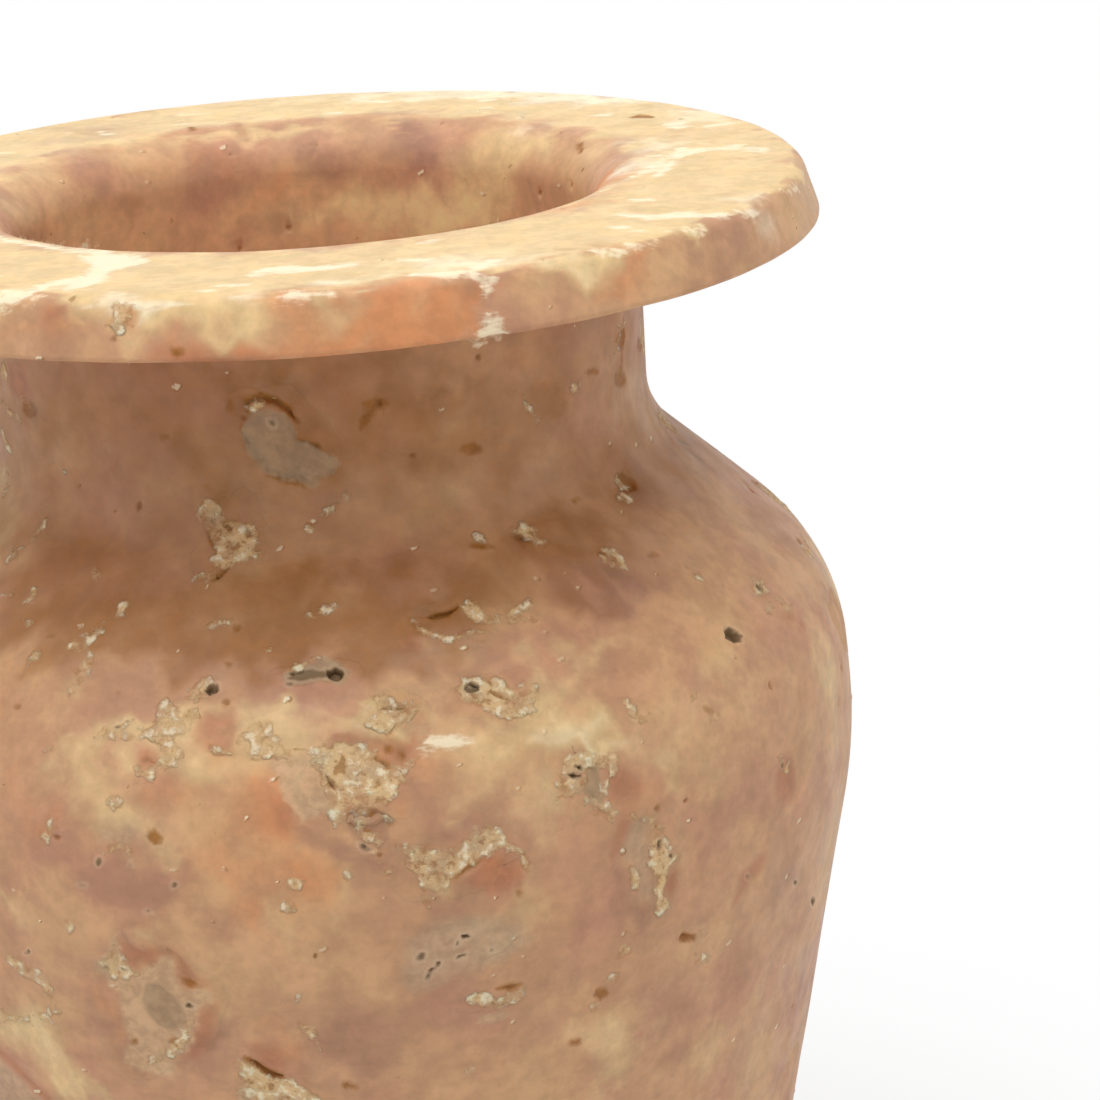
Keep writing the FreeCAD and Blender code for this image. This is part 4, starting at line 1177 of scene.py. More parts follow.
class LumpOutline:
    """One lump's place on the skin, and how far it reaches each way from its middle."""

    def __init__(self, section, name, seed):
        places = np.array([vertex.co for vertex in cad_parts[name].data.vertices])
        radius = np.hypot(places[:, 0], places[:, 1])
        climb, gap = section.climb_near(radius, places[:, 2])
        top = gap < LUMP_TOP_LIMIT
        places, climb, radius = places[top], climb[top], radius[top]
        middle = math.atan2(places[:, 0].mean(), -places[:, 1].mean())
        across = turn_between(np.arctan2(places[:, 0], -places[:, 1]), middle) * radius
        shift = (across.max() + across.min()) / 2
        self.climb = (climb.max() + climb.min()) / 2
        self.azimuth = middle + shift / radius.mean()
        self.seen = not unseen(section, self.azimuth, self.climb)
        self.kind = "grey" if name in GREY_LUMPS else "beige" if name in BEIGE_LUMPS else "cream"
        angle = np.arctan2(climb - self.climb, across - shift)
        reach = np.hypot(across - shift, climb - self.climb)
        bins = np.round((angle / (2 * math.pi) % 1) * OUTLINE_BINS).astype(int) % OUTLINE_BINS
        widest = np.zeros(OUTLINE_BINS)
        np.maximum.at(widest, bins, reach)
        filled = np.flatnonzero(widest > OUTLINE_LEAST_SHARE * reach.max())
        self.angles = filled * 2 * math.pi / OUTLINE_BINS
        self.reaches = widest[filled]
        rng = np.random.default_rng(seed)
        self.phases = rng.uniform(0, 2 * math.pi, len(RAGGED_LOBES))
        self.reach = self.reaches.max() + 4 * RAGGED_DEPTH

    def at(self, angle):
        """How far the ragged outline reaches at each angle, anticlockwise from sideways."""
        ragged = sum(
            RAGGED_DEPTH * math.sqrt(RAGGED_LOBES[0] / lobes) * np.sin(angle * lobes + phase)
            for lobes, phase in zip(RAGGED_LOBES, self.phases)
        )
        return np.interp(angle, self.angles, self.reaches, period=2 * math.pi) + ragged

    def depth_inside(self, skin, reach):
        """The vertices near the lump, and how far inside its outline each one lies."""
        near, across, along = skin.around(self.azimuth, self.climb, self.reach + reach)
        return near, self.at(np.arctan2(along, across)) - np.hypot(across, along)


class Skin:
    """The vertices of a mesh on the turned skin, and what the tables paint and carve there."""

    def __init__(self, mesh, section):
        places = read_floats(mesh, "turned_place", 3)
        self.mesh = mesh
        self.section = section
        self.climb = read_floats(mesh, "climb")
        self.azimuth = np.arctan2(places[:, 0], -places[:, 1])
        self.radius = np.hypot(places[:, 0], places[:, 1])
        self.height = places[:, 2]
        self.stray_across, self.stray_along = (ripples(places, seed) for seed in RIPPLE_SEEDS)
        self.order = np.argsort(self.climb)
        self.sorted_climb = self.climb[self.order]

    def around(self, azimuth, climb, reach):
        """The vertices within reach of a place, and how far across and along each one lies."""
        first, last = np.searchsorted(self.sorted_climb, (climb - reach, climb + reach))
        near = self.order[first:last]
        across = turn_between(self.azimuth[near], azimuth) * self.radius[near]
        close = np.abs(across) < reach
        near = near[close]
        return near, across[close], self.climb[near] - climb

    def inside(self, form, reach):
        """The vertices near a form, and how far inside its outline each one lies."""
        near, across, along = self.around(form.azimuth, form.climb, form.reach + reach)
        across = across + self.stray_across[near] * FORM_STRAY
        along = along + self.stray_along[near] * FORM_STRAY
        return near, form.inside(across, along)

    def edge_distances(self, forms, kind, outlines):
        """How far inside the nearest form or lump of a kind each vertex lies."""
        distance = np.full(len(self.climb), -EDGE_REACH)
        for form in forms:
            if form.kind == kind:
                near, inside = self.inside(form, EDGE_REACH)
                distance[near] = np.maximum(distance[near], inside)
        for outline in outlines:
            if outline.kind == kind and not outline.seen:
                near, inside = outline.depth_inside(self, EDGE_REACH)
                distance[near] = np.maximum(distance[near], inside - LUMP_CORE_INSET)
        return distance

    def clouded(self, clouds, forms, kind):
        """Soft clouds laid over each other, with the forms of their kind."""
        clear = np.ones(len(self.climb))
        for cloud in clouds:
            reach = max(cloud.half_width, cloud.half_height) * CLOUD_REACH + RIPPLE_WAVELENGTHS[0]
            near, across, along = self.around(cloud.azimuth, cloud.climb, reach)
            across = across + self.stray_across[near] * CLOUD_STRAY
            along = along + self.stray_along[near] * CLOUD_STRAY
            cosine, sine = math.cos(cloud.turn), math.sin(cloud.turn)
            lengthways = (across * cosine + along * sine) / cloud.half_width
            sideways = (along * cosine - across * sine) / cloud.half_height
            clear[near] *= 1 - cloud.strength * np.exp(-CLOUD_FALL * (lengthways**2 + sideways**2))
        for form in forms:
            if form.kind == kind:
                near, inside = self.inside(form, CLOUDED_FORM_FADE)
                share = smooth(0.5 + inside / CLOUDED_FORM_FADE) * CLOUDED_FORM_STRENGTH
                clear[near] = np.minimum(clear[near], 1 - share)
        return 1 - clear

    def rim_skin(self):
        """How much of the rim's pale skin lies on each vertex."""
        stray = self.stray_along * CLOUD_STRAY
        outside = self.climb + stray - (self.section.rim_edge_climb - RIM_SKIN_DROP)
        bore = self.section.lip_climb + RIM_SKIN_BORE + stray - self.climb
        share = smooth(0.5 + outside / RIM_SKIN_FADE) * smooth(0.5 + bore / RIM_SKIN_BORE_FADE)
        return share * RIM_SKIN_STRENGTH

    def bore_light(self):
        """How much light comes through the stone to each vertex of the bore."""
        return smooth((self.climb - self.section.lip_climb - BORE_LIGHT_DROP) / BORE_LIGHT_FADE)

    def neck_patina(self):
        """How much brown patina and painted shade of the rim's shadow lie on each vertex round the neck."""
        outside = self.climb < self.section.rim_edge_climb
        share = smooth((self.height - PATINA_AND_SHADE_FOOT) / PATINA_AND_SHADE_FADE) * (self.height < PATINA_AND_SHADE_TOP)
        return share * outside * PATINA_AND_SHADE_STRENGTH

    def paint(self, forms, clouds, outlines):
        """Stores on the vertices what the materials read."""
        for kind in EDGED_KINDS:
            distance = self.edge_distances(forms, kind, outlines)
            write_floats(self.mesh, kind, np.clip(distance / (2 * EDGE_REACH) + 0.5, 0, 1))
        for kind in CLOUD_KINDS:
            share = self.clouded(clouds[kind], forms, kind)
            if kind == "veil":
                share = np.maximum(share, self.rim_skin())
            # The patina wash takes the neck's band too: patina with painted shade of the rim's shadow
            if kind == "patina":
                share = 1 - (1 - share) * (1 - self.neck_patina())
            write_floats(self.mesh, kind, share)
        write_floats(self.mesh, "bore_light", self.bore_light())

    def carve(self, forms, outlines):
        """Stores how deep forms and the lumps' sockets are carved, and where lime crumbles."""
        carved = np.zeros(len(self.climb))
        for form in forms:
            if form.depth:
                near, inside = self.inside(form, 0.0)
                depth = form.depth * smooth(inside / CARVED_WALL)
                deeper = np.abs(depth) > np.abs(carved[near])
                carved[near] = np.where(deeper, depth, carved[near])
        for outline in outlines:
            near, inside = outline.depth_inside(self, 0.0)
            carved[near] = np.where(inside > 0, SOCKET_DEPTH, carved[near])
        write_floats(self.mesh, "carved", carved)
        lime = self.edge_distances(forms, "cream", outlines)
        write_floats(self.mesh, "cream", np.clip(lime / (2 * EDGE_REACH) + 0.5, 0, 1))

    def plain_vertices(self, forms, outlines):
        """Numbers of the vertices that the thinned mesh can lose."""
        plain = np.ones(len(self.climb), bool)
        for form in forms:
            if form.width < SMALL_FORM:
                near, inside = self.inside(form, KEPT_BAND)
                plain[near[inside > -KEPT_BAND]] = False
        for outline in outlines:
            near, inside = outline.depth_inside(self, KEPT_SOCKET_BAND)
            plain[near[(inside > -KEPT_SOCKET_BAND) & (inside < KEPT_BAND)]] = False
        return np.flatnonzero(plain)


def node(tree, kind, inputs=None, **settings):
    """A node with its settings, and with values or links on its inputs."""
    made = tree.nodes.new(kind)
    for name, value in settings.items():
        setattr(made, name, value)
    for key, value in (inputs or {}).items():
        connect(tree, value, made.inputs[key])
    return made


def connect(tree, value, socket):
    """Links an output to a socket, or sets the socket to a plain value."""
    if isinstance(value, bpy.types.NodeSocket):
        tree.links.new(value, socket)
    elif socket.type == "RGBA" and len(value) == 3:
        socket.default_value = (*value, 1.0)
    else:
        socket.default_value = value


def maths(tree, operation, *values, clamp=False):
    """One sum on numbers."""
    made = node(tree, "ShaderNodeMath", dict(enumerate(values)), operation=operation, use_clamp=clamp)
    return made.outputs[0]


def vectors(tree, operation, *values):
    """One sum on vectors."""
    return node(tree, "ShaderNodeVectorMath", dict(enumerate(values)), operation=operation).outputs[0]


def scaled(tree, vector, factor):
    """A vector, or a colour, times a number."""
    made = node(tree, "ShaderNodeVectorMath", {0: vector, "Scale": factor}, operation="SCALE")
    return made.outputs[0]


def far_from(tree, vector, other):
    """The distance between two places."""
    return node(tree, "ShaderNodeVectorMath", {0: vector, 1: other}, operation="DISTANCE").outputs["Value"]


def parts_of(tree, vector):
    """The three numbers of a vector."""
    return node(tree, "ShaderNodeSeparateXYZ", {"Vector": vector}).outputs


def ramp(tree, value, low, high, to_low=0.0, to_high=1.0):
    """A smooth rise from one number to another while the value crosses from low to high."""
    sockets = {"Value": value, "From Min": low, "From Max": high, "To Min": to_low, "To Max": to_high}
    return node(tree, "ShaderNodeMapRange", sockets, interpolation_type="SMOOTHSTEP").outputs[0]


def noise(tree, place, size, detail=3.0, roughness=0.5, output="Fac"):
    """Cloudy noise whose largest blotches are about a size across, in millimetres."""
    sockets = {"Vector": place, "Scale": 1.0 / size, "Detail": detail, "Roughness": roughness}
    return node(tree, "ShaderNodeTexNoise", sockets).outputs[output]


def mixed(tree, share, below, above, blend_type="MIX"):
    """One colour laid over another by a share."""
    made = node(
        tree, "ShaderNodeMix", {0: share, 6: below, 7: above}, data_type="RGBA", blend_type=blend_type
    )
    return made.outputs[2]


def signed(tree, share):
    """A share from 0 to 1, stretched to run from -1 to 1."""
    return maths(tree, "MULTIPLY_ADD", share, 2.0, -1.0)


def distance_mm(tree, edge):
    """Millimetres inside an outline, from its stored share."""
    return maths(tree, "MULTIPLY", maths(tree, "SUBTRACT", edge, 0.5), 2 * EDGE_REACH / MM)


def small_pits(tree, place, spacing):
    """How deep each place lies in a scattered small pit, 0 at its edge and 1 at its middle."""
    wandering = vectors(tree, "ADD", place, scaled(tree, noise(tree, place, 0.8, 2.0, output="Color"), 0.5))
    sockets = {"Vector": wandering, "Scale": maths(tree, "DIVIDE", 1.0, spacing)}
    cell = node(tree, "ShaderNodeTexVoronoi", sockets).outputs
    draw = parts_of(tree, cell["Color"])
    crowd = noise(tree, place, 9.0, 2.0)
    chosen = maths(tree, "GREATER_THAN", maths(tree, "MULTIPLY_ADD", crowd, 1.1, draw[0]), 1.36)
    width = maths(tree, "MULTIPLY_ADD", draw[1], 0.14, 0.05)
    share = maths(tree, "DIVIDE", cell["Distance"], width)
    return maths(tree, "MULTIPLY", ramp(tree, share, 1.0, 0.4), chosen)


FLOAT = "NodeSocketFloat"
COLOUR = "NodeSocketColor"
VECTOR = "NodeSocketVector"
GEOMETRY = "NodeSocketGeometry"
MATERIAL = "NodeSocketMaterial"
WHOLE = "NodeSocketInt"


def new_group(name, kind, inputs, outputs):
    """A node group and its two end nodes. A named input is a socket's type, or its number."""
    tree = bpy.data.node_groups.new(name, kind)
    for label, value in inputs.items():
        if isinstance(value, str):
            tree.interface.new_socket(label, in_out="INPUT", socket_type=value)
        else:
            number = WHOLE if isinstance(value, int) else FLOAT
            tree.interface.new_socket(label, in_out="INPUT", socket_type=number).default_value = value
    for label, socket_type in outputs.items():
        tree.interface.new_socket(label, in_out="OUTPUT", socket_type=socket_type)
    return tree, tree.nodes.new("NodeGroupInput").outputs, tree.nodes.new("NodeGroupOutput").inputs


def named_value(tree, name, data_type="FLOAT"):
    """An attribute's value, in a geometry tree."""
    return node(tree, "GeometryNodeInputNamedAttribute", {"Name": name}, data_type=data_type).outputs[0]


def stored(tree, geometry, name, value, data_type="FLOAT"):
    """The geometry with one more attribute."""
    sockets = {"Geometry": geometry, "Name": name, "Value": value}
    made = node(tree, "GeometryNodeStoreNamedAttribute", sockets, data_type=data_type, domain="POINT")
    return made.outputs[0]


def dressed_skin(tree, skin, material):
    """The last steps of both geometry trees: real instances and a material."""
    skin = node(tree, "GeometryNodeRealizeInstances", {"Geometry": skin}).outputs[0]
    return node(tree, "GeometryNodeSetMaterial", {"Geometry": skin, "Material": material}).outputs[0]


def turned_jar_tree():
    """Turns a section, a line of points in the XZ plane, about Z into a closed skin."""
    tree, entry, leaving = new_group(
        "turned jar",
        "GeometryNodeTree",
        {"Section": GEOMETRY, "Columns": 1080, "Material": MATERIAL},
        {"Skin": GEOMETRY},
    )
    section = entry["Section"]
    rows = node(tree, "GeometryNodeAttributeDomainSize", {"Geometry": section}).outputs["Point Count"]
    columns = maths(tree, "ADD", entry["Columns"], 1)
    grid = node(tree, "GeometryNodeMeshGrid", {"Vertices X": columns, "Vertices Y": rows}).outputs["Mesh"]
    index = node(tree, "GeometryNodeInputIndex").outputs[0]
    column = maths(tree, "FLOOR", maths(tree, "DIVIDE", maths(tree, "ADD", index, 0.5), rows))
    row = maths(tree, "SUBTRACT", index, maths(tree, "MULTIPLY", column, rows))
    azimuth = maths(tree, "MULTIPLY", maths(tree, "DIVIDE", column, entry["Columns"]), 2 * math.pi)
    sampled = {}
    for name, data_type, value in (
        ("place", "FLOAT_VECTOR", node(tree, "GeometryNodeInputPosition").outputs[0]),
        ("climb", "FLOAT", named_value(tree, "climb")),
    ):
        sockets = {"Geometry": section, "Value": value, "Index": row}
        sample = node(tree, "GeometryNodeSampleIndex", sockets, data_type=data_type, domain="POINT")
        sampled[name] = sample.outputs[0]
    sockets = {"Vector": sampled["place"], "Angle": azimuth}
    turned = node(tree, "ShaderNodeVectorRotate", sockets, rotation_type="Z_AXIS").outputs[0]
    skin = node(tree, "GeometryNodeSetPosition", {"Geometry": grid, "Position": turned}).outputs[0]
    skin = stored(tree, skin, "climb", sampled["climb"])
    skin = stored(tree, skin, "turned_place", turned, "FLOAT_VECTOR")
    skin = node(tree, "GeometryNodeMergeByDistance", {"Geometry": skin, "Distance": 1e-6}).outputs[0]
    skin = node(tree, "GeometryNodeSetShadeSmooth", {"Geometry": skin}).outputs[0]
    connect(tree, dressed_skin(tree, skin, entry["Material"]), leaving["Skin"])
    return tree


# Width of the low facets that grinding leaves, in millimetres
FACET_SIZE = 4.5


def worked_stone_tree():
    """Works and weathers a stone skin, after its painted lime and its carved depths."""
    tree, entry, leaving = new_group(
        "worked stone",
        "GeometryNodeTree",
        {"Skin": GEOMETRY}
        | {name + " depth": 0.0 for name in ("Wobble", "Tool", "Grain", "Crumble", "Pit")}
        | {"Pit spacing": 2.0, "Material": MATERIAL},
        {"Skin": GEOMETRY},
    )
    place = scaled(tree, named_value(tree, "turned_place", "FLOAT_VECTOR"), 1 / MM)
    normal = node(tree, "GeometryNodeInputNormal").outputs[0]
    squeezed = vectors(tree, "MULTIPLY", place, (1.0, 1.0, 0.6))
    facet = node(
        tree, "ShaderNodeTexVoronoi", {"Vector": squeezed, "Scale": 1 / FACET_SIZE}, feature="SMOOTH_F1"
    )
    lime = distance_mm(tree, named_value(tree, "cream"))
    broken = signed(tree, noise(tree, place, 1.1, 5.0, 0.65))
    lime = ramp(tree, maths(tree, "MULTIPLY_ADD", broken, 0.5, lime), -0.05, 0.15)
    rough = maths(tree, "MULTIPLY", signed(tree, noise(tree, place, 1.5, 6.0, 0.7)), lime)
    pits = maths(tree, "MULTIPLY", small_pits(tree, place, entry["Pit spacing"]), entry["Pit depth"])
    height = maths(tree, "MULTIPLY", signed(tree, noise(tree, place, 26.0, 2.0)), entry["Wobble depth"])
    height = maths(tree, "MULTIPLY_ADD", signed(tree, facet.outputs[0]), entry["Tool depth"], height)
    grain = signed(tree, noise(tree, place, 0.9, 3.0, 0.6))
    height = maths(tree, "MULTIPLY_ADD", grain, entry["Grain depth"], height)
    height = maths(tree, "MULTIPLY_ADD", rough, entry["Crumble depth"], height)
    height = maths(tree, "SUBTRACT", height, maths(tree, "ADD", pits, named_value(tree, "carved")))
    sockets = {"Geometry": entry["Skin"], "Offset": scaled(tree, normal, height)}
    skin = node(tree, "GeometryNodeSetPosition", sockets).outputs[0]
    x, y, z = parts_of(tree, node(tree, "GeometryNodeInputPosition").outputs[0])
    sockets = {"X": x, "Y": y, "Z": maths(tree, "MAXIMUM", z, 0.0)}
    above_floor = node(tree, "ShaderNodeCombineXYZ", sockets).outputs[0]
    skin = node(tree, "GeometryNodeSetPosition", {"Geometry": skin, "Position": above_floor}).outputs[0]
    connect(tree, dressed_skin(tree, skin, entry["Material"]), leaving["Skin"])
    return tree


def nodes_modifier(obj, tree, **values):
    """Adds a tree to an object, with its inputs set by their sockets' identifiers."""
    modifier = obj.modifiers.new(tree.name, "NODES")
    modifier.node_group = tree
    for item in tree.interface.items_tree:
        key = item.name.lower().replace(" ", "_")
        if item.item_type == "SOCKET" and item.in_out == "INPUT" and key in values:
            modifier[item.identifier] = values[key]


# Edges whose faces turn more than this are shaded sharp
SHARP_ANGLE = math.radians(58)


def settle(obj):
    """Makes an object's modifiers part of its plain mesh, with its steep edges sharp."""
    graph = bpy.context.evaluated_depsgraph_get()
    mesh = bpy.data.meshes.new_from_object(
        obj.evaluated_get(graph), preserve_all_data_layers=True, depsgraph=graph
    )
    obj.modifiers.clear()
    before = obj.data
    obj.data = mesh
    mesh.name = obj.name
    mesh.set_sharp_from_angle(angle=SHARP_ANGLE)
    bpy.data.meshes.remove(before)
    return mesh


def new_piece(name, vertices, faces=(), edges=()):
    """An object with a plain mesh, in the scene."""
    mesh = bpy.data.meshes.new(name)
    mesh.from_pydata(vertices, edges, faces)
    obj = bpy.data.objects.new(name, mesh)
    bpy.context.scene.collection.objects.link(obj)
    return obj


def once(store, name, make):
    """A material or tree of that name, made if it isn't there yet."""
    return store.get(name) or make()


def work_stone(obj, relief, material):
    """Adds the tree that works and weathers a stone skin."""
    depths = {name: getattr(relief, name) for name in relief.__annotations__ if name.endswith("_depth")}
    tree = once(bpy.data.node_groups, "worked stone", worked_stone_tree)
    nodes_modifier(obj, tree, **depths, pit_spacing=relief.pit_spacing / MM, material=material)


def fine_step(relief):
    return relief.skin_step * 1.0


def lump_outlines(section):
    """Every lump's outline, by the name of its node."""
    names = sorted(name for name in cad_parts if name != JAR_NODE)
    return {name: LumpOutline(section, name, number) for number, name in enumerate(names)}


class STONEJAR_OT_body(bpy.types.Operator):
    """Turn the jar from its section, carve its hollows, chips and sockets, and finish its stone"""

    bl_idname = "stonejar.body"
    bl_label = "Carve the Jar"

    def execute(self, context):
        scene = context.scene
        sizes, relief = scene.stone_jar_sizes, scene.stone_jar_relief
        step = fine_step(relief)
        section = Section(sizes, step)
        points = [(radius, 0, height) for radius, height in section.points]
        jar = new_piece("stone_jar", points, edges=[(i, i + 1) for i in range(len(points) - 1)])
        write_floats(jar.data, "climb", section.climb)
        material = stone_material("honey stone", scene.stone_jar_colours, HONEY_ROUGHNESS)
        columns = int(2 * math.pi * sizes.upper_belly_radius / step)
        turned = once(bpy.data.node_groups, "turned jar", turned_jar_tree)
        nodes_modifier(jar, turned, columns=columns, material=material)
        mesh = settle(jar)
        forms = all_forms(section, relief.seed)
        outlines = lump_outlines(section).values()
        skin = Skin(mesh, section)
        skin.carve(forms, outlines)
        plain = skin.plain_vertices(forms, outlines)
        group = jar.vertex_groups.new(name="plain")
        group.add(plain.tolist(), 1.0, "REPLACE")
        work_stone(jar, relief, material)
        thin = jar.modifiers.new("thin the mesh", "DECIMATE")
        thin.ratio = min(1.0, relief.triangle_limit / (2 * len(mesh.polygons)))
        thin.vertex_group = group.name
        mesh = settle(jar)
        Skin(mesh, section).paint(forms, all_clouds(section, relief.seed), outlines)
        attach(jar, BODY)
        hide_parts(JAR_NODE)
        return {"FINISHED"}


def stone_place(tree):
    """Where the skin lay before it was worked, in millimetres."""
    made = node(tree, "ShaderNodeAttribute", attribute_name="turned_place")
    return scaled(tree, made.outputs["Vector"], 1 / MM)


def painted(tree, name):
    """A share stored on the vertices."""
    return node(tree, "ShaderNodeAttribute", attribute_name=name).outputs["Fac"]


def leaned(tree, value, *leans):
    """A value moved by noises, each of them 0.5 on average, by its own amount."""
    for lean, amount in leans:
        value = maths(tree, "MULTIPLY_ADD", maths(tree, "SUBTRACT", lean, 0.5), amount, value)
    return value


def marbled_stone_group():
    """Cloudy stone: broad clouds of four tones, then the painted washes over them."""
    # The dusk wash lays on mauve stone and, in the bore, painted shade
    # The glow wash lays on orange stone and, at the rim, a painted glow of light through the stone
    # The milk wash lays on milky stone and painted highlights
    # The patina wash lays on brown patina and painted shade of the rim's shadow
    washes = (
        ("Veil", "Pale"), ("Dusk", "Mauve"), ("Patina", "Brown"), ("Glow", "Orange"), ("Milk", "White")
    )
    tones = ("Tan", "Honey", "Pink", "Mauve", "Orange", "Pale", "Brown", "White")
    noises = ("Broad", "Middle", "Fine")
    tree, entry, leaving = new_group(
        "marbled stone",
        "ShaderNodeTree",
        dict.fromkeys(noises, VECTOR)
        | {"Streaks": 0.5}
        | {name: 0.0 for name, _ in washes}
        | dict.fromkeys(tones, COLOUR),
        {"Color": COLOUR},
    )
    broad = parts_of(tree, entry["Broad"])
    middle = parts_of(tree, entry["Middle"])
    fine = parts_of(tree, entry["Fine"])
    pink = ramp(tree, leaned(tree, broad[0], (middle[0], 0.25)), 0.38, 0.66)
    colour = mixed(tree, pink, entry["Tan"], entry["Pink"])
    honey = ramp(tree, leaned(tree, broad[1], (middle[1], 0.25)), 0.42, 0.68, 0.0, 0.75)
    colour = mixed(tree, honey, colour, entry["Honey"])
    mauve = ramp(tree, leaned(tree, broad[2], (middle[2], 0.2)), 0.54, 0.72, 0.0, 0.35)
    colour = mixed(tree, mauve, colour, entry["Mauve"])
    for step, (name, tone) in enumerate(washes):
        wash = leaned(tree, entry[name], (middle[step % 3], 0.45), (fine[(step + 1) % 3], 0.25))
        colour = mixed(tree, ramp(tree, wash, 0.10, 0.95, 0.0, 0.92), colour, entry[tone])
    streaky = maths(tree, "MULTIPLY", ramp(tree, entry["Streaks"], 0.52, 0.70), entry["Veil"])
    colour = mixed(tree, maths(tree, "MULTIPLY", streaky, 0.30), colour, entry["Pink"])
    cloudy = leaned(tree, middle[1], (fine[0], 0.6), (entry["Streaks"], 0.3))
    connect(tree, scaled(tree, colour, ramp(tree, cloudy, 0.2, 0.8, 0.88, 1.12)), leaving["Color"])
    return tree


def patch_group():
    """A patch with an edge laid over a colour, from its stored edge and a stray in millimetres."""
    tree, entry, leaving = new_group(
        "edged patch",
        "ShaderNodeTree",
        {"Color": COLOUR, "Edge": 0.0, "Stray": 0.0, "From": -0.1, "To": 0.1}
        | {"Share": 1.0, "Mottle": 1.0, "Patch": COLOUR},
        {"Color": COLOUR},
    )
    inside = maths(tree, "ADD", distance_mm(tree, entry["Edge"]), entry["Stray"])
    mask = maths(tree, "MULTIPLY", ramp(tree, inside, entry["From"], entry["To"]), entry["Share"])
    patch = scaled(tree, entry["Patch"], entry["Mottle"])
    connect(tree, mixed(tree, mask, entry["Color"], patch), leaving["Color"])
    return tree


# Pale flecks: the width of the cells that hold one each, their lean, how they are stretched,
# and how far their painted shadows are shifted
FLECK_SPACING = 1.7
FLECK_LEAN = (0, 24, 0)
FLECK_STRETCH = (0.55, 0.55, 1.0)
FLECK_SHADE_SHIFT = (-0.03, 0.0, 0.06)


def flecks_group():
    """Small pale flecks, each with a painted shadow on one side, and fine scattered pits darkened with
    painted shade and dirt.
    """
    tree, entry, leaving = new_group(
        "flecks and pits",
        "ShaderNodeTree",
        {"Color": COLOUR, "Place": VECTOR, "Fine": VECTOR, "Pit spacing": 2.2}
        | {"Light": COLOUR, "Dark": COLOUR},
        {"Color": COLOUR},
    )
    place = entry["Place"]
    wandering = vectors(tree, "ADD", place, scaled(tree, entry["Fine"], 0.9))
    sockets = {"Vector": wandering, "Rotation": [math.radians(angle) for angle in FLECK_LEAN]}
    leaning = node(tree, "ShaderNodeVectorRotate", sockets, rotation_type="EULER_XYZ").outputs[0]
    leaning = vectors(tree, "MULTIPLY", leaning, FLECK_STRETCH)
    cell = node(tree, "ShaderNodeTexVoronoi", {"Vector": leaning, "Scale": 1 / FLECK_SPACING}).outputs
    draw = parts_of(tree, cell["Color"])
    width = maths(tree, "MULTIPLY_ADD", draw[1], 0.11, 0.035)
    chosen = maths(tree, "GREATER_THAN", draw[0], 0.54)
    light = ramp(tree, maths(tree, "DIVIDE", cell["Distance"], width), 1.0, 0.5)
    # Painted shadow: each chosen fleck gets a dark patch shifted from its pale one
    seat = scaled(tree, leaning, 1 / FLECK_SPACING)
    shifted = vectors(tree, "ADD", seat, FLECK_SHADE_SHIFT)
    shadow_gap = far_from(tree, shifted, scaled(tree, cell["Position"], 1 / FLECK_SPACING))
    fleck_shadow = ramp(tree, maths(tree, "DIVIDE", shadow_gap, width), 1.2, 0.6)
    strength = maths(tree, "MULTIPLY_ADD", draw[2], 0.6, 0.25)
    strength = maths(tree, "MULTIPLY", strength, chosen)
    colour = mixed(tree, maths(tree, "MULTIPLY", fleck_shadow, strength), entry["Color"], entry["Dark"])
    colour = mixed(tree, maths(tree, "MULTIPLY", light, strength), colour, entry["Light"])
    # The small pits are painted dark: painted shade, with dirt
    pits = maths(tree, "MULTIPLY", small_pits(tree, place, entry["Pit spacing"]), 0.55)
    connect(tree, mixed(tree, pits, colour, entry["Dark"]), leaving["Color"])
    return tree


# How wide the crumbs of the lime are, in millimetres
CRUMB_SIZE = 0.85


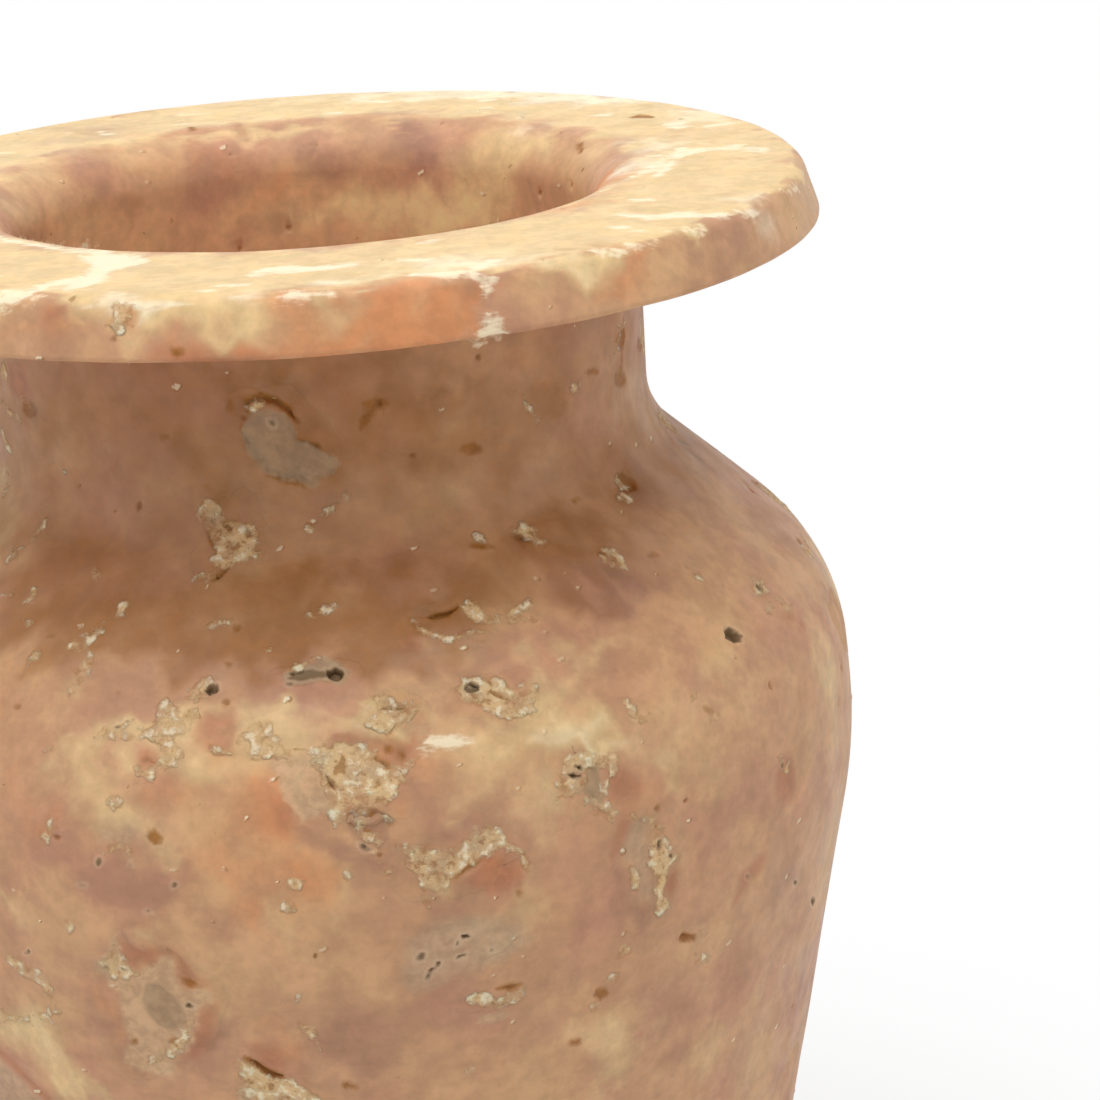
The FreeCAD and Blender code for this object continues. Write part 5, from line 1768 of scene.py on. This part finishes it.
def lime_group():
    """Crumbled lime laid over a colour: cream with white grains as painted highlights on the crumbs' tops,
    brown dirt with painted shade in the furrows, and a thin painted shadow round its edge.
    """
    tree, entry, leaving = new_group(
        "crumbled lime",
        "ShaderNodeTree",
        {"Color": COLOUR, "Place": VECTOR, "Edge": 0.0, "Middle": VECTOR, "Fine": VECTOR}
        | dict.fromkeys(("Cream", "Dull", "White", "Dirt"), COLOUR),
        {"Color": COLOUR, "Mask": FLOAT, "Height": FLOAT},
    )
    middle, fine = parts_of(tree, entry["Middle"]), parts_of(tree, entry["Fine"])
    wandering = vectors(tree, "ADD", entry["Place"], scaled(tree, entry["Fine"], 1.1))
    lumps = node(
        tree, "ShaderNodeTexVoronoi", {"Vector": wandering, "Scale": 1 / CRUMB_SIZE}, feature="SMOOTH_F1"
    )
    crumbs = maths(tree, "MULTIPLY_ADD", lumps.outputs["Distance"], -0.75, 0.78)
    crumbs = leaned(tree, crumbs, (noise(tree, entry["Place"], 0.7, 4.0, 0.62), 1.3))
    inside = leaned(tree, distance_mm(tree, entry["Edge"]), (middle[0], 0.9), (fine[1], 0.8), (crumbs, 0.8))
    dull = ramp(tree, leaned(tree, middle[1], (fine[1], 0.4)), 0.46, 0.62, 0.0, 0.55)
    lime = mixed(tree, dull, entry["Cream"], entry["Dull"])
    # Painted highlight: white on the crumbs' tops
    lime = mixed(tree, ramp(tree, crumbs, 0.50, 0.74, 0.0, 0.75), lime, entry["White"])
    # Painted shade, with dirt, in the low furrows between the crumbs
    lime = mixed(tree, ramp(tree, crumbs, 0.40, 0.20, 0.0, 0.65), lime, entry["Dirt"])
    # Painted shadow: a thin dark ring round the crust's edge, outside it
    ring = maths(tree, "MULTIPLY", ramp(tree, inside, -0.5, -0.1), ramp(tree, fine[0], 0.46, 0.62, 0.0, 0.45))
    colour = mixed(tree, ring, entry["Color"], entry["Dirt"])
    thick = ramp(tree, leaned(tree, middle[2], (crumbs, 0.3)), 0.34, 0.54, 0.45, 1.0)
    mask = maths(tree, "MULTIPLY", ramp(tree, inside, -0.30, 0.16), thick)
    connect(tree, mixed(tree, mask, colour, lime), leaving["Color"])
    connect(tree, mask, leaving["Mask"])
    connect(tree, maths(tree, "MULTIPLY", crumbs, mask), leaving["Height"])
    return tree


def placed(tree, name, make, inputs):
    """A shared group placed in a material with its own values."""
    made = tree.nodes.new("ShaderNodeGroup")
    made.node_tree = once(bpy.data.node_groups, name, make)
    for label, value in inputs.items():
        connect(tree, value, made.inputs[label])
    return made.outputs


# How the stone takes light
STONE_IOR = 1.5
GLOSS_LEVEL = 0.3
HONEY_ROUGHNESS = 0.48
GREY_ROUGHNESS = 0.56
BEIGE_ROUGHNESS = 0.62
CREAM_ROUGHNESS = 0.72
SCATTER_WEIGHT = 0.2
SCATTER_RADIUS = (1.0, 0.42, 0.2)
SCATTER_SCALE = 0.0018
BUMP_STRENGTH = 0.8

# How much brighter the bore is than its lip, and the height of the lime's crumbs in millimetres
BORE_BRIGHTENING = 0.36
LIME_RELIEF = 0.42

# Streaks run along X, as on the rim's flat top
STREAK_STRETCH = (0.28, 1.0, 1.0)

# Patches laid over the marbled stone: the stored edge, the colour, where the edge starts and
# ends in millimetres, the share of the patch's colour, and how far the noises stray the edge
PATCHES = (
    ("sage", "sage", -0.9, 0.9, 0.70, 1.8),
    # The red and umber patches are stains, and painted shadow in crevices along lumps' edges
    ("red", "red", -0.7, 0.7, 0.70, 1.5),
    ("beige", "beige", -0.30, 0.35, 0.85, 1.4),
    ("umber", "umber", -0.30, 0.22, 0.88, 0.9),
    ("grey", "grey", -0.20, 0.25, 0.92, 1.3),
)


def stone_material(name, colours, satin):
    """Weathered stone: marbled, with patches, flecks, lime, pits and chips over it."""
    material = bpy.data.materials.new(name)
    material.use_nodes = True
    tree = material.node_tree
    tree.nodes.clear()
    place = stone_place(tree)
    broad = noise(tree, place, 10.0, 2.0, output="Color")
    middle = noise(tree, place, 3.0, 4.0, 0.58, output="Color")
    fine = noise(tree, place, 0.9, 3.0, 0.62, output="Color")
    middles, fines = parts_of(tree, middle), parts_of(tree, fine)
    streaks = noise(tree, vectors(tree, "MULTIPLY", place, STREAK_STRETCH), 0.9, 4.0, 0.66)
    mottle = ramp(tree, leaned(tree, fines[2], (middles[1], 0.6), (fines[0], 0.5)), 0.25, 0.75, 0.84, 1.16)
    values = {"Broad": broad, "Middle": middle, "Fine": fine, "Streaks": streaks, "Brown": colours.patina}
    values |= {kind.title(): painted(tree, kind) for kind in CLOUD_KINDS}
    tones = ("tan", "honey", "pink", "mauve", "orange", "pale", "white")
    values |= {tone.title(): getattr(colours, tone) for tone in tones}
    colour = placed(tree, "marbled stone", marbled_stone_group, values)["Color"]
    for step, (edge, tone, low, high, share, ragged) in enumerate(PATCHES):
        stray = leaned(tree, 0.0, (middles[step % 3], ragged), (fines[(step + 1) % 3], ragged * 0.7))
        values = {"Color": colour, "Edge": painted(tree, edge), "Stray": stray}
        values |= {"From": low, "To": high, "Share": share, "Mottle": mottle}
        values["Patch"] = getattr(colours, tone)
        colour = placed(tree, "edged patch", patch_group, values)["Color"]
    values = {"Color": colour, "Place": place, "Fine": fine, "Pit spacing": 2.6}
    # The flecks' dark colour paints their shadows and the shade in the small pits
    values |= {"Light": colours.white, "Dark": colours.umber}
    colour = placed(tree, "flecks and pits", flecks_group, values)["Color"]
    values = {"Color": colour, "Place": place, "Edge": painted(tree, "cream"), "Middle": middle}
    values |= {"Fine": fine, "Cream": colours.cream, "Dull": colours.sage}
    # The lime's dirt colour also paints the shade in its furrows and the shadow round its edge
    values |= {"White": colours.white, "Dirt": colours.umber}
    lime = placed(tree, "crumbled lime", lime_group, values)
    # Pits: a faint pale ring as a painted highlight on each rim, then the inside in the shade colour, painted
    # shade with dirt
    pit_stray = leaned(tree, 0.0, (fines[0], 0.5))
    values = {"Color": lime["Color"], "Edge": painted(tree, "pit"), "Stray": pit_stray}
    values |= {"From": -0.34, "To": -0.1, "Share": 0.09, "Patch": colours.white}
    ringed = placed(tree, "edged patch", patch_group, values)
    values |= {"Color": ringed["Color"], "From": -0.08, "To": 0.18, "Share": 0.9, "Patch": colours.shade}
    hollow = placed(tree, "edged patch", patch_group, values)
    values = {"Color": hollow["Color"], "Edge": painted(tree, "chip")}
    values["Stray"] = leaned(tree, 0.0, (streaks, 3.2), (fines[0], 0.6))
    values |= {"From": -0.40, "To": 0.40, "Share": 0.85, "Patch": colours.white}
    chip = placed(tree, "edged patch", patch_group, values)
    light = maths(tree, "MULTIPLY_ADD", painted(tree, "bore_light"), BORE_BRIGHTENING, 1.0)
    colour = scaled(tree, chip["Color"], light)
    satins = ramp(tree, middles[2], 0.3, 0.7, satin - 0.06, satin + 0.08)
    roughness = maths(tree, "MAXIMUM", satins, maths(tree, "MULTIPLY", lime["Mask"], 0.82))
    grain = maths(tree, "MULTIPLY", noise(tree, place, 0.45, 3.0, 0.6), 0.02)
    crumbs = maths(tree, "MULTIPLY", lime["Height"], LIME_RELIEF)
    height = maths(tree, "ADD", grain, crumbs)
    relief = node(tree, "ShaderNodeBump", {"Strength": BUMP_STRENGTH, "Distance": MM, "Height": height})
    sockets = {"Base Color": colour, "Roughness": roughness, "Normal": relief.outputs[0]}
    sockets |= {"IOR": STONE_IOR, "Specular IOR Level": GLOSS_LEVEL, "Subsurface Weight": SCATTER_WEIGHT}
    sockets |= {"Subsurface Radius": SCATTER_RADIUS, "Subsurface Scale": SCATTER_SCALE}
    shader = node(tree, "ShaderNodeBsdfPrincipled", sockets)
    node(tree, "ShaderNodeOutputMaterial", {"Surface": shader.outputs[0]})
    return material


def lump_mesh(section, outline, name):
    """A lump's top, side and base, ring by ring from the middle of its top."""
    angles = np.arange(LUMP_SPOKES) * 2 * math.pi / LUMP_SPOKES
    edge = outline.at(angles)
    core, side = edge + LUMP_EDGE[0][0], edge + LUMP_EDGE[-1][0]
    rings = [(core * share, 0.0) for share in np.linspace(0, 1, LUMP_RINGS + 1)[1:-1]]
    rings += [(edge + out, depth) for out, depth in LUMP_EDGE]
    rings += [(side * share, LUMP_DEPTH) for share in LUMP_BASE_SHARES]
    across = np.concatenate([[0.0], *(reach * np.cos(angles) for reach, _ in rings), [0.0]])
    along = np.concatenate([[0.0], *(reach * np.sin(angles) for reach, _ in rings), [0.0]])
    depth = np.concatenate([[0.0], np.repeat([depth for _, depth in rings], LUMP_SPOKES), [LUMP_DEPTH]])
    climb = outline.climb + along
    azimuth = outline.azimuth + across / section.radius_at(climb)
    faces = []
    last = 1 + len(rings) * LUMP_SPOKES
    for spoke in range(LUMP_SPOKES):
        following = (spoke + 1) % LUMP_SPOKES
        faces.append((0, 1 + spoke, 1 + following))
        for ring in range(len(rings) - 1):
            here = 1 + ring * LUMP_SPOKES
            there = here + LUMP_SPOKES
            faces.append((here + spoke, there + spoke, there + following, here + following))
        base = 1 + (len(rings) - 1) * LUMP_SPOKES
        faces.append((base + spoke, last, base + following))
    lump = new_piece(name, section.skin_point(azimuth, climb, depth), faces)
    lump.data.polygons.foreach_set("use_smooth", [True] * len(faces))
    write_floats(lump.data, "turned_place", section.skin_point(azimuth, climb, np.zeros(len(climb))))
    write_floats(lump.data, "climb", climb)
    return lump


class STONEJAR_OT_lumps(bpy.types.Operator):
    """Set a lump of other stone in each socket, with its own ragged outline and relief"""

    bl_idname = "stonejar.lumps"
    bl_label = "Set the Lumps of Other Stone"

    def execute(self, context):
        scene = context.scene
        sizes, relief, colours = scene.stone_jar_sizes, scene.stone_jar_relief, scene.stone_jar_colours
        section = Section(sizes, fine_step(relief))
        forms = all_forms(section, relief.seed)
        clouds = all_clouds(section, relief.seed)
        satins = {"grey": GREY_ROUGHNESS, "beige": BEIGE_ROUGHNESS, "cream": CREAM_ROUGHNESS}
        materials = {kind: stone_material(kind + " stone", colours, satin) for kind, satin in satins.items()}
        outlines = lump_outlines(section)
        for name, outline in outlines.items():
            lump = lump_mesh(section, outline, name.replace("_inclusion", "_lump"))
            Skin(lump.data, section).carve(forms, [])
            work_stone(lump, relief, materials[outline.kind])
            mesh = settle(lump)
            Skin(mesh, section).paint(forms, clouds, outlines.values())
            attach(lump, BODY)
            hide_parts(name)
        return {"FINISHED"}


# The studio: the floor's size, how white it is near the jar and from where on it is full
# white, how strongly the room lights the jar, and the lamps' places, widths and powers
FLOOR_SIZE = 12.0
FLOOR_GLOW = (0.55, 0.995)
FLOOR_GLOW_FROM = (0.03, 0.13)
ROOM_LIGHT = 0.25
LAMP_AIM = Vector((0, 0, 0.06))
LAMPS = (
    ("softbox overhead", Vector((0.0, 0.05, 0.9)), 0.9, 5.2),
    ("softbox over the front", Vector((0.0, -0.5, 0.8)), 0.5, 1.5),
    ("softbox over the left", Vector((-0.45, -0.35, 0.9)), 0.5, 1.8),
    ("softbox on the left", Vector((-0.8, -0.3, 0.25)), 0.5, 0.65),
    ("softbox on the right", Vector((0.8, -0.4, 0.3)), 0.5, 1.15),
)


class STONEJAR_OT_studio(bpy.types.Operator):
    """Set up the pale floor, the soft lamps and the camera of the photograph"""

    bl_idname = "stonejar.studio"
    bl_label = "Set Up the Studio"

    def execute(self, context):
        self.lay_floor()
        self.light_world(context.scene)
        self.hang_lamps(context.scene)
        self.place_camera(context.scene)
        context.scene.view_settings.view_transform = "Standard"
        return {"FINISHED"}

    def seen_directly(self, tree):
        """Whether a place is looked at, straight or in something glossy, and doesn't light."""
        path = node(tree, "ShaderNodeLightPath").outputs
        seen = maths(tree, "MAXIMUM", path["Is Camera Ray"], path["Is Glossy Ray"])
        return maths(tree, "MAXIMUM", seen, path["Is Transmission Ray"])

    def lay_floor(self):
        """A pale floor that shows as white, and keeps a part of the jar's shadow near it."""
        half = FLOOR_SIZE / 2
        corners = [(-half, -half, 0), (half, -half, 0), (half, half, 0), (-half, half, 0)]
        floor = new_piece("floor", corners, [(0, 1, 2, 3)])
        material = bpy.data.materials.new("pale floor")
        material.use_nodes = True
        tree = material.node_tree
        tree.nodes.clear()
        place = node(tree, "ShaderNodeTexCoord").outputs["Object"]
        white = ramp(tree, far_from(tree, place, (0, 0, 0)), *FLOOR_GLOW_FROM, *FLOOR_GLOW)
        share = maths(tree, "MULTIPLY", self.seen_directly(tree), white)
        matt = node(tree, "ShaderNodeBsdfDiffuse", {"Color": (0.88, 0.87, 0.86)}).outputs[0]
        glow = node(tree, "ShaderNodeEmission", {"Color": (1.0, 1.0, 1.0), "Strength": 1.0}).outputs[0]
        surface = node(tree, "ShaderNodeMixShader", {0: share, 1: matt, 2: glow}).outputs[0]
        node(tree, "ShaderNodeOutputMaterial", {"Surface": surface})
        floor.data.materials.append(material)

    def light_world(self, scene):
        """A white room: full white where it is seen, and softer where it lights the jar."""
        world = bpy.data.worlds.new("white room")
        world.use_nodes = True
        tree = world.node_tree
        tree.nodes.clear()
        strength = maths(tree, "MULTIPLY_ADD", self.seen_directly(tree), 1.0 - ROOM_LIGHT, ROOM_LIGHT)
        room = node(tree, "ShaderNodeBackground", {"Color": (1.0, 1.0, 1.0), "Strength": strength})
        node(tree, "ShaderNodeOutputWorld", {"Surface": room.outputs[0]})
        scene.world = world

    def hang_lamps(self, scene):
        """Soft lamps: the main one straight over the jar, and weaker ones round it."""
        for name, place, size, power in LAMPS:
            lamp = bpy.data.lights.new(name, "AREA")
            lamp.size = size
            lamp.energy = power
            holder = bpy.data.objects.new(name, lamp)
            holder.location = place
            holder.rotation_mode = "QUATERNION"
            holder.rotation_quaternion = (LAMP_AIM - place).to_track_quat("-Z", "Y")
            scene.collection.objects.link(holder)

    def place_camera(self, scene):
        """The camera of the photograph."""
        place, right, up, forward = camera_axes()
        camera = bpy.data.cameras.new("camera")
        camera.sensor_width = SENSOR_WIDTH_MM
        camera.lens = PHOTO_FOCAL_PIXELS / PHOTO_SIDE_PIXELS * SENSOR_WIDTH_MM
        camera.clip_start = 0.01
        camera.clip_end = 100.0
        holder = bpy.data.objects.new("camera", camera)
        turned = Matrix((right, up, -forward)).transposed()
        holder.matrix_world = Matrix.Translation(place) @ turned.to_4x4()
        scene.collection.objects.link(holder)
        scene.camera = holder


class STONEJAR_PT_panel(bpy.types.Panel):
    """Sizes, relief and colours of the jar, and the steps that build it"""

    bl_idname = "STONEJAR_PT_panel"
    bl_label = "Stone Jar"
    bl_space_type = "VIEW_3D"
    bl_region_type = "UI"
    bl_category = "Stone Jar"

    def draw(self, context):
        """Lists every size, and a button for each step."""
        scene = context.scene
        for group in (scene.stone_jar_sizes, scene.stone_jar_relief, scene.stone_jar_colours):
            column = self.layout.column(align=True)
            for name in group.__annotations__:
                column.prop(group, name)
        for step in STEPS:
            self.layout.operator(step.bl_idname)


GROUPS = {
    "stone_jar_sizes": StoneJarSizes,
    "stone_jar_relief": StoneJarRelief,
    "stone_jar_colours": StoneJarColours,
}
STEPS = (STONEJAR_OT_studio, STONEJAR_OT_body, STONEJAR_OT_lumps)


def register():
    """Makes the classes and the scene's settings known."""
    for name, group in GROUPS.items():
        bpy.utils.register_class(group)
        setattr(bpy.types.Scene, name, PointerProperty(type=group))
    for made in (*STEPS, STONEJAR_PT_panel):
        bpy.utils.register_class(made)


def unregister():
    """Takes the classes and the scene's settings away again."""
    for made in (STONEJAR_PT_panel, *reversed(STEPS)):
        bpy.utils.unregister_class(made)
    for name, group in GROUPS.items():
        delattr(bpy.types.Scene, name)
        bpy.utils.unregister_class(group)


def main():
    """Builds the studio, the jar and its lumps."""
    register()
    bpy.ops.stonejar.studio()
    bpy.ops.stonejar.body()
    bpy.ops.stonejar.lumps()


if __name__ == "__main__":
    main()
